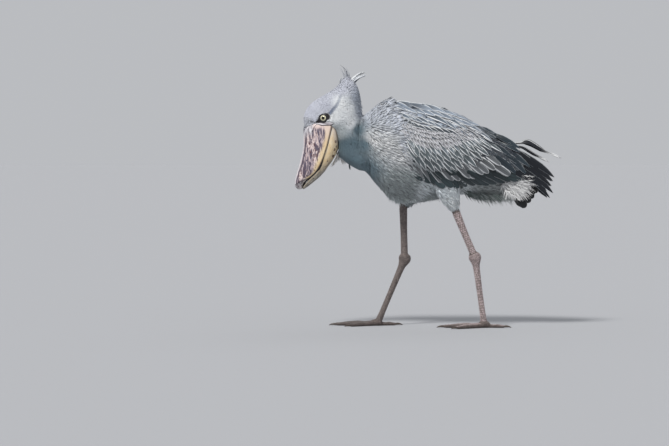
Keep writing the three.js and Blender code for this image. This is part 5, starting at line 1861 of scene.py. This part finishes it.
# shaggy nape
R_, T_ = [], []
n = 230
u = g.uniform(0, 1, n)
ny, nz = px(352.5 + 8.0 * u ** 0.7, 84 + 24 * u)
x = g.normal(0, 1, n) * (8 + 16 * u)
back = np.sqrt(np.clip(1 - (x / (30 + 36 * u)) ** 2, 0, 1))
root = np.stack([x, ny - 5 - (1 - back) * 40, nz], 1)
a = np.radians(g.uniform(35, 74, n))
L = g.uniform(14, 26, n)
tip = root + np.stack([x * 0.12 * np.ones(n), np.cos(a) * L + 2, -np.sin(a) * L], 1)
root[:, 1] -= 5
shade = np.where(g.random(n)[:, None] < 0.34, linear((64, 74, 92)), linear((206, 211, 218)))
tuft("tuft_nape", root, tip, (0.0, 0.8, 0.5), 4.2, shade, 93, sag=0.14, rim=0.4, spread=1.0, vary=0.1)

# loose white feathers at the throat
tips = [(331.4, 166.6), (332.8, 164.6), (335.5, 161.8), (343.8, 165.4), (346.0, 162.2), (350.2, 169.4), (338.5, 160.2)]
roots = [(338.0, 154.0), (337.5, 152.5), (338.5, 152.5), (341.0, 156.5), (342.0, 157.0), (349.0, 163.0), (339.0, 154.0)]
R_, T_, C_ = [], [], []
for i, (t_, r_) in enumerate(zip(tips, roots)):
    n = 7
    R_.append(side_points(g.uniform(-14, 14, n), np.array(r_) + g.normal(size=(n, 2)) * 0.6))
    T_.append(side_points(g.uniform(-20, 20, n), np.array(t_) + g.normal(size=(n, 2)) * 0.7))
    C_.append(np.tile(linear((60, 76, 80)) if i == 5 else linear((252, 252, 252)), (n, 1)))
R_, T_, C_ = map(np.concatenate, (R_, T_, C_))
tuft("tuft_throat", R_, T_, (0.9, 0.1, 0.3), 3.4, C_, 94, sag=-0.16, vary=0.04)

# ragged tufts below the breast, on the thighs and under the belly
R_, T_, C_ = [], [], []
def hang(pts, n, length, angle, colour, xs, jitter=1.6):
    pts = spaced(pts, n) + g.normal(size=(n, 2)) * jitter * 0.5
    a = np.radians(g.normal(angle, 9, n))
    L = g.uniform(0.6, 1.15, n) * length
    tip = pts + L[:, None] * np.stack([np.cos(a), np.sin(a)], 1)
    x0 = g.uniform(-xs, xs, n)
    R_.append(side_points(x0, pts))
    T_.append(side_points(x0 * 1.02, tip))
    C_.append(np.tile(linear(colour), (n, 1)))


hang([(383, 186), (388, 191), (394, 195), (399, 198)], 110, 9.5, 76, (196, 204, 206), 46)
hang([(399, 198), (410, 197), (422, 196), (436, 194)], 120, 7.5, 60, (150, 158, 158), 60)
hang([(462, 190), (474, 193), (486, 194), (498, 194)], 240, 12.0, 42, (104, 114, 112), 62)
hang([(470, 192), (484, 194), (500, 195), (508, 195)], 130, 12.5, 46, (168, 174, 174), 56)
hang([(501, 192), (511, 194)], 90, 9.0, 52, (222, 225, 228), 46, 1.0)
hang([(447, 203), (452, 206), (457, 205)], 90, 6.0, 74, (206, 213, 216), 1)
for q in (R_[-1], T_[-1]):
    q[:, 0] = 60 + 17 * np.sin(np.linspace(0, 40, len(q)))
R_, T_, C_ = map(np.concatenate, (R_, T_, C_))
tuft("tuft_below", R_, T_, (1.0, 0.0, 0.0), 3.0, C_, 95, sag=0.03, spread=1.5)

# ruffled feathers on the hump between the shoulders, and dark tips along the ridge of the back
R_, T_, C_ = [], [], []
n = 90
x = g.normal(0, 26, n)
top = spaced([(377, 106), (384, 101.5), (389, 98.4), (393, 100), (398, 103.6)], n) + g.normal(size=(n, 2)) * 0.8
top[:, 1] += (x / 26) ** 2 * 1.2
a = np.radians(g.uniform(-34, 14, n))
R_.append(side_points(x, top + np.array([-3.2, 1.6])))
T_.append(side_points(x * 1.05, top + np.stack([np.cos(a), np.sin(a)], 1) * g.uniform(2.0, 4.4, n)[:, None]))
C_.append(np.tile(linear((176, 180, 190)), (n, 1)) * g.uniform(0.5, 1.2, (n, 1)))
for tip_, root_, m_ in (((465.0, 117.6), (452, 114.0), 6), ((513.0, 143.6), (500, 137.6), 6), ((441.5, 107.2), (436, 109.0), 8)):
    R_.append(side_points(g.uniform(-10, 16, m_), np.array(root_) + g.normal(size=(m_, 2)) * 0.5))
    T_.append(side_points(g.uniform(-10, 16, m_), np.array(tip_) + g.normal(size=(m_, 2)) * 0.5))
    C_.append(np.tile(linear((40, 48, 60)) if tip_[0] != 441.5 else linear((196, 202, 206)), (m_, 1)))
R_, T_, C_ = map(np.concatenate, (R_, T_, C_))
tuft("tuft_back", R_, T_, (0.15, -0.2, 1.0), 6.5, C_, 96, sag=0.06, rim=0.5, spread=1.2)


# ------------------------------------------------------------------ scales of the legs
def scute_material():
    n = Net("scutes")
    colour, _ = n.tint()
    grime = n.noise(n.where(), 90.0, 3.0, 0.6)
    n.wire(n.mix(1.0, colour, n.grey(n.math("ADD", n.math("MULTIPLY", grime, 0.5), 0.72)), "MULTIPLY"),
           n.b.inputs["Base Color"])
    n.flat(Roughness=0.46)
    n.b.inputs["Specular IOR Level"].default_value = 0.4
    return n.m


SCUTE_MAT = scute_material()


def scutes(name, rows, t0, t1, count, around, lift, colour, seed, ring_kind=None, wide=0.94, top_only=False):
    """Small domed plates in rings along a limb, each ring turned by half a plate."""
    g = np.random.default_rng(seed)
    fn = limb(rows, 0.3 if top_only else -1e9)
    ts = np.linspace(t0, t1, count + 1)
    V, F, C, base = [], [], [], 0
    a = np.array([-1.0, -0.55, 0.0, 0.55, 1.0])
    b = np.array([-1.0, -0.5, 0.0, 0.5, 1.0])
    AA, BB = np.meshgrid(a, b, indexing="ij")
    dome = np.clip(1 - np.abs(AA) ** 3, 0, 1) * np.clip(1 - np.abs(BB) ** 3, 0, 1)
    # hexagon-like plates: the ends of each plate narrow a little
    AA = AA * (1 - 0.22 * np.abs(BB) ** 2)
    for i in range(count):
        shift = 0.5 * (i % 2)
        for j in range(around):
            if top_only:
                if j != 0:
                    continue
                th0, dth = np.pi / 2, 1.9
            else:
                th0 = 2 * np.pi * (j + shift + 0.06 * g.normal()) / around
                dth = 2 * np.pi / around
            tm, dt = (ts[i] + ts[i + 1]) / 2, (ts[i + 1] - ts[i])
            T = np.clip(tm + BB * dt * 0.5 * wide, 0, 1)
            A = th0 + AA * dth * 0.5 * wide
            p = fn(T, A)
            e = 1e-3
            dT = fn(np.clip(T + e, 0, 1), A) - fn(np.clip(T - e, 0, 1), A)
            dA = fn(T, A + 0.02) - fn(T, A - 0.02)
            n = unit(np.cross(dA, dT))
            c = along(rows, T)[..., :3]
            n = n * np.sign(((p - c) * n).sum(-1, keepdims=True) + 1e-9)
            q = p + n * (-0.35 + (lift + 0.35) * np.sqrt(dome))[..., None]
            V.append(q.reshape(-1, 3))
            idx = np.arange(25).reshape(5, 5)
            quad = np.stack([idx[:-1, :-1], idx[1:, :-1], idx[1:, 1:], idx[:-1, 1:]], -1).reshape(-1, 4)
            nn = np.cross(q[1, 0] - q[0, 0], q[0, 1] - q[0, 0])
            if (nn * n[0, 0]).sum() < 0:
                quad = quad[:, ::-1]
            F.append(quad + base)
            base += 25
            C.append(np.tile(colour * g.uniform(0.68, 1.25), (25, 1)))
    V = np.concatenate(V)
    return V, np.concatenate(F), np.concatenate(C)


V_, F_, C_, base_ = [], [], [], 0
for s in ("left", "right"):
    thigh_, shank_, tarsus_, pad_, toes_, claws_ = LEGS[s]
    # the far (right) leg's plates are painted darker than the near (left) leg's, as painted shade
    tone = linear((176, 160, 160)) if s == "left" else linear((112, 103, 100))
    jobs = [(shank_, 0.30, 0.86, 30, 9, 0.75, tone), (tarsus_, 0.10, 0.94, 44, 9, 0.75, tone * 0.92)]
    for toe, rows in toes_.items():
        jobs.append((rows, 0.14, 0.97, 12 if toe == "hind" else 20, 1, 0.8, tone * 0.66))
    for i, (rows, a, b, n, m, lift, colour) in enumerate(jobs):
        v, f, c = scutes("x", rows, a, b, n, m, lift, colour, 700 + i, top_only=m == 1)
        if m == 1:
            v[:, 2] = np.maximum(v[:, 2], 0.4)
        V_.append(v)
        F_.append(f + base_)
        C_.append(c)
        base_ += len(v)
V_, F_, C_ = map(np.concatenate, (V_, F_, C_))
ob = add_mesh("leg_scales", mm(V_), F_)
set_attr(ob, "tint", "FLOAT_COLOR", np.concatenate([np.clip(C_, 0, 1), np.zeros((len(C_), 1))], 1))
ob.data.materials.append(SCUTE_MAT)
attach(ob, "root")
print("leg scales", len(F_))

# ------------------------------------------------------------------ camera, floor and light
scene = bpy.context.scene
cam_data = bpy.data.cameras.new("camera")
cam = bpy.data.objects.new("camera", cam_data)
scene.collection.objects.link(cam)
cam_data.sensor_width = 36
DIST, AZ, CAM_Z = 12.0, 89.0, 0.817
TARGET = Vector((0.0, -0.3368, 0.3744))
cam_data.lens = 36.0 / 2.4084 * DIST
a = math.radians(AZ)
cam.location = Vector((TARGET.x + DIST * math.sin(a), TARGET.y - DIST * math.cos(a), CAM_Z))
cam.rotation_euler = (TARGET - cam.location).to_track_quat("-Z", "Y").to_euler()
cam_data.clip_end = 100
scene.camera = cam

floor_mesh = bpy.data.meshes.new("floor")
floor_mesh.from_pydata([(-30, -30, 0), (30, -30, 0), (30, 30, 0), (-30, 30, 0)], [], [(0, 1, 2, 3)])
floor = bpy.data.objects.new("floor", floor_mesh)
scene.collection.objects.link(floor)
fl = Net("floor")
fl.b.inputs["Base Color"].default_value = (0.387, 0.394, 0.413, 1)
fl.b.inputs["Roughness"].default_value = 0.8
fl.b.inputs["Specular IOR Level"].default_value = 0.2
floor_mesh.materials.append(fl.m)

world = bpy.data.worlds.new("studio")
scene.world = world
world.use_nodes = True
world.node_tree.nodes["Background"].inputs[0].default_value = (0.88, 0.90, 0.94, 1)
world.node_tree.nodes["Background"].inputs[1].default_value = 0.56


def lamp(name, where, at, size, power, colour=(1, 1, 1)):
    d = bpy.data.lights.new(name, "AREA")
    d.shape = "DISK"
    d.size = size
    d.energy = power
    d.color = colour
    o = bpy.data.objects.new(name, d)
    scene.collection.objects.link(o)
    o.location = where
    o.rotation_euler = (Vector(at) - Vector(where)).to_track_quat("-Z", "Y").to_euler()
    return o


def sun(name, toward, power, spread, colour):
    d = bpy.data.lights.new(name, "SUN")
    d.angle = math.radians(spread)
    d.energy = power
    d.color = colour
    o = bpy.data.objects.new(name, d)
    scene.collection.objects.link(o)
    o.rotation_euler = (-Vector(toward)).to_track_quat("-Z", "Y").to_euler()
    return o


sun("key", (0.66, -0.40, 1.0), 2.75, 14, (1.0, 0.985, 0.955))
sun("back", (-0.7, 0.5, 0.9), 0.30, 40, (0.97, 0.98, 1.0))
scene.view_settings.view_transform = "Standard"
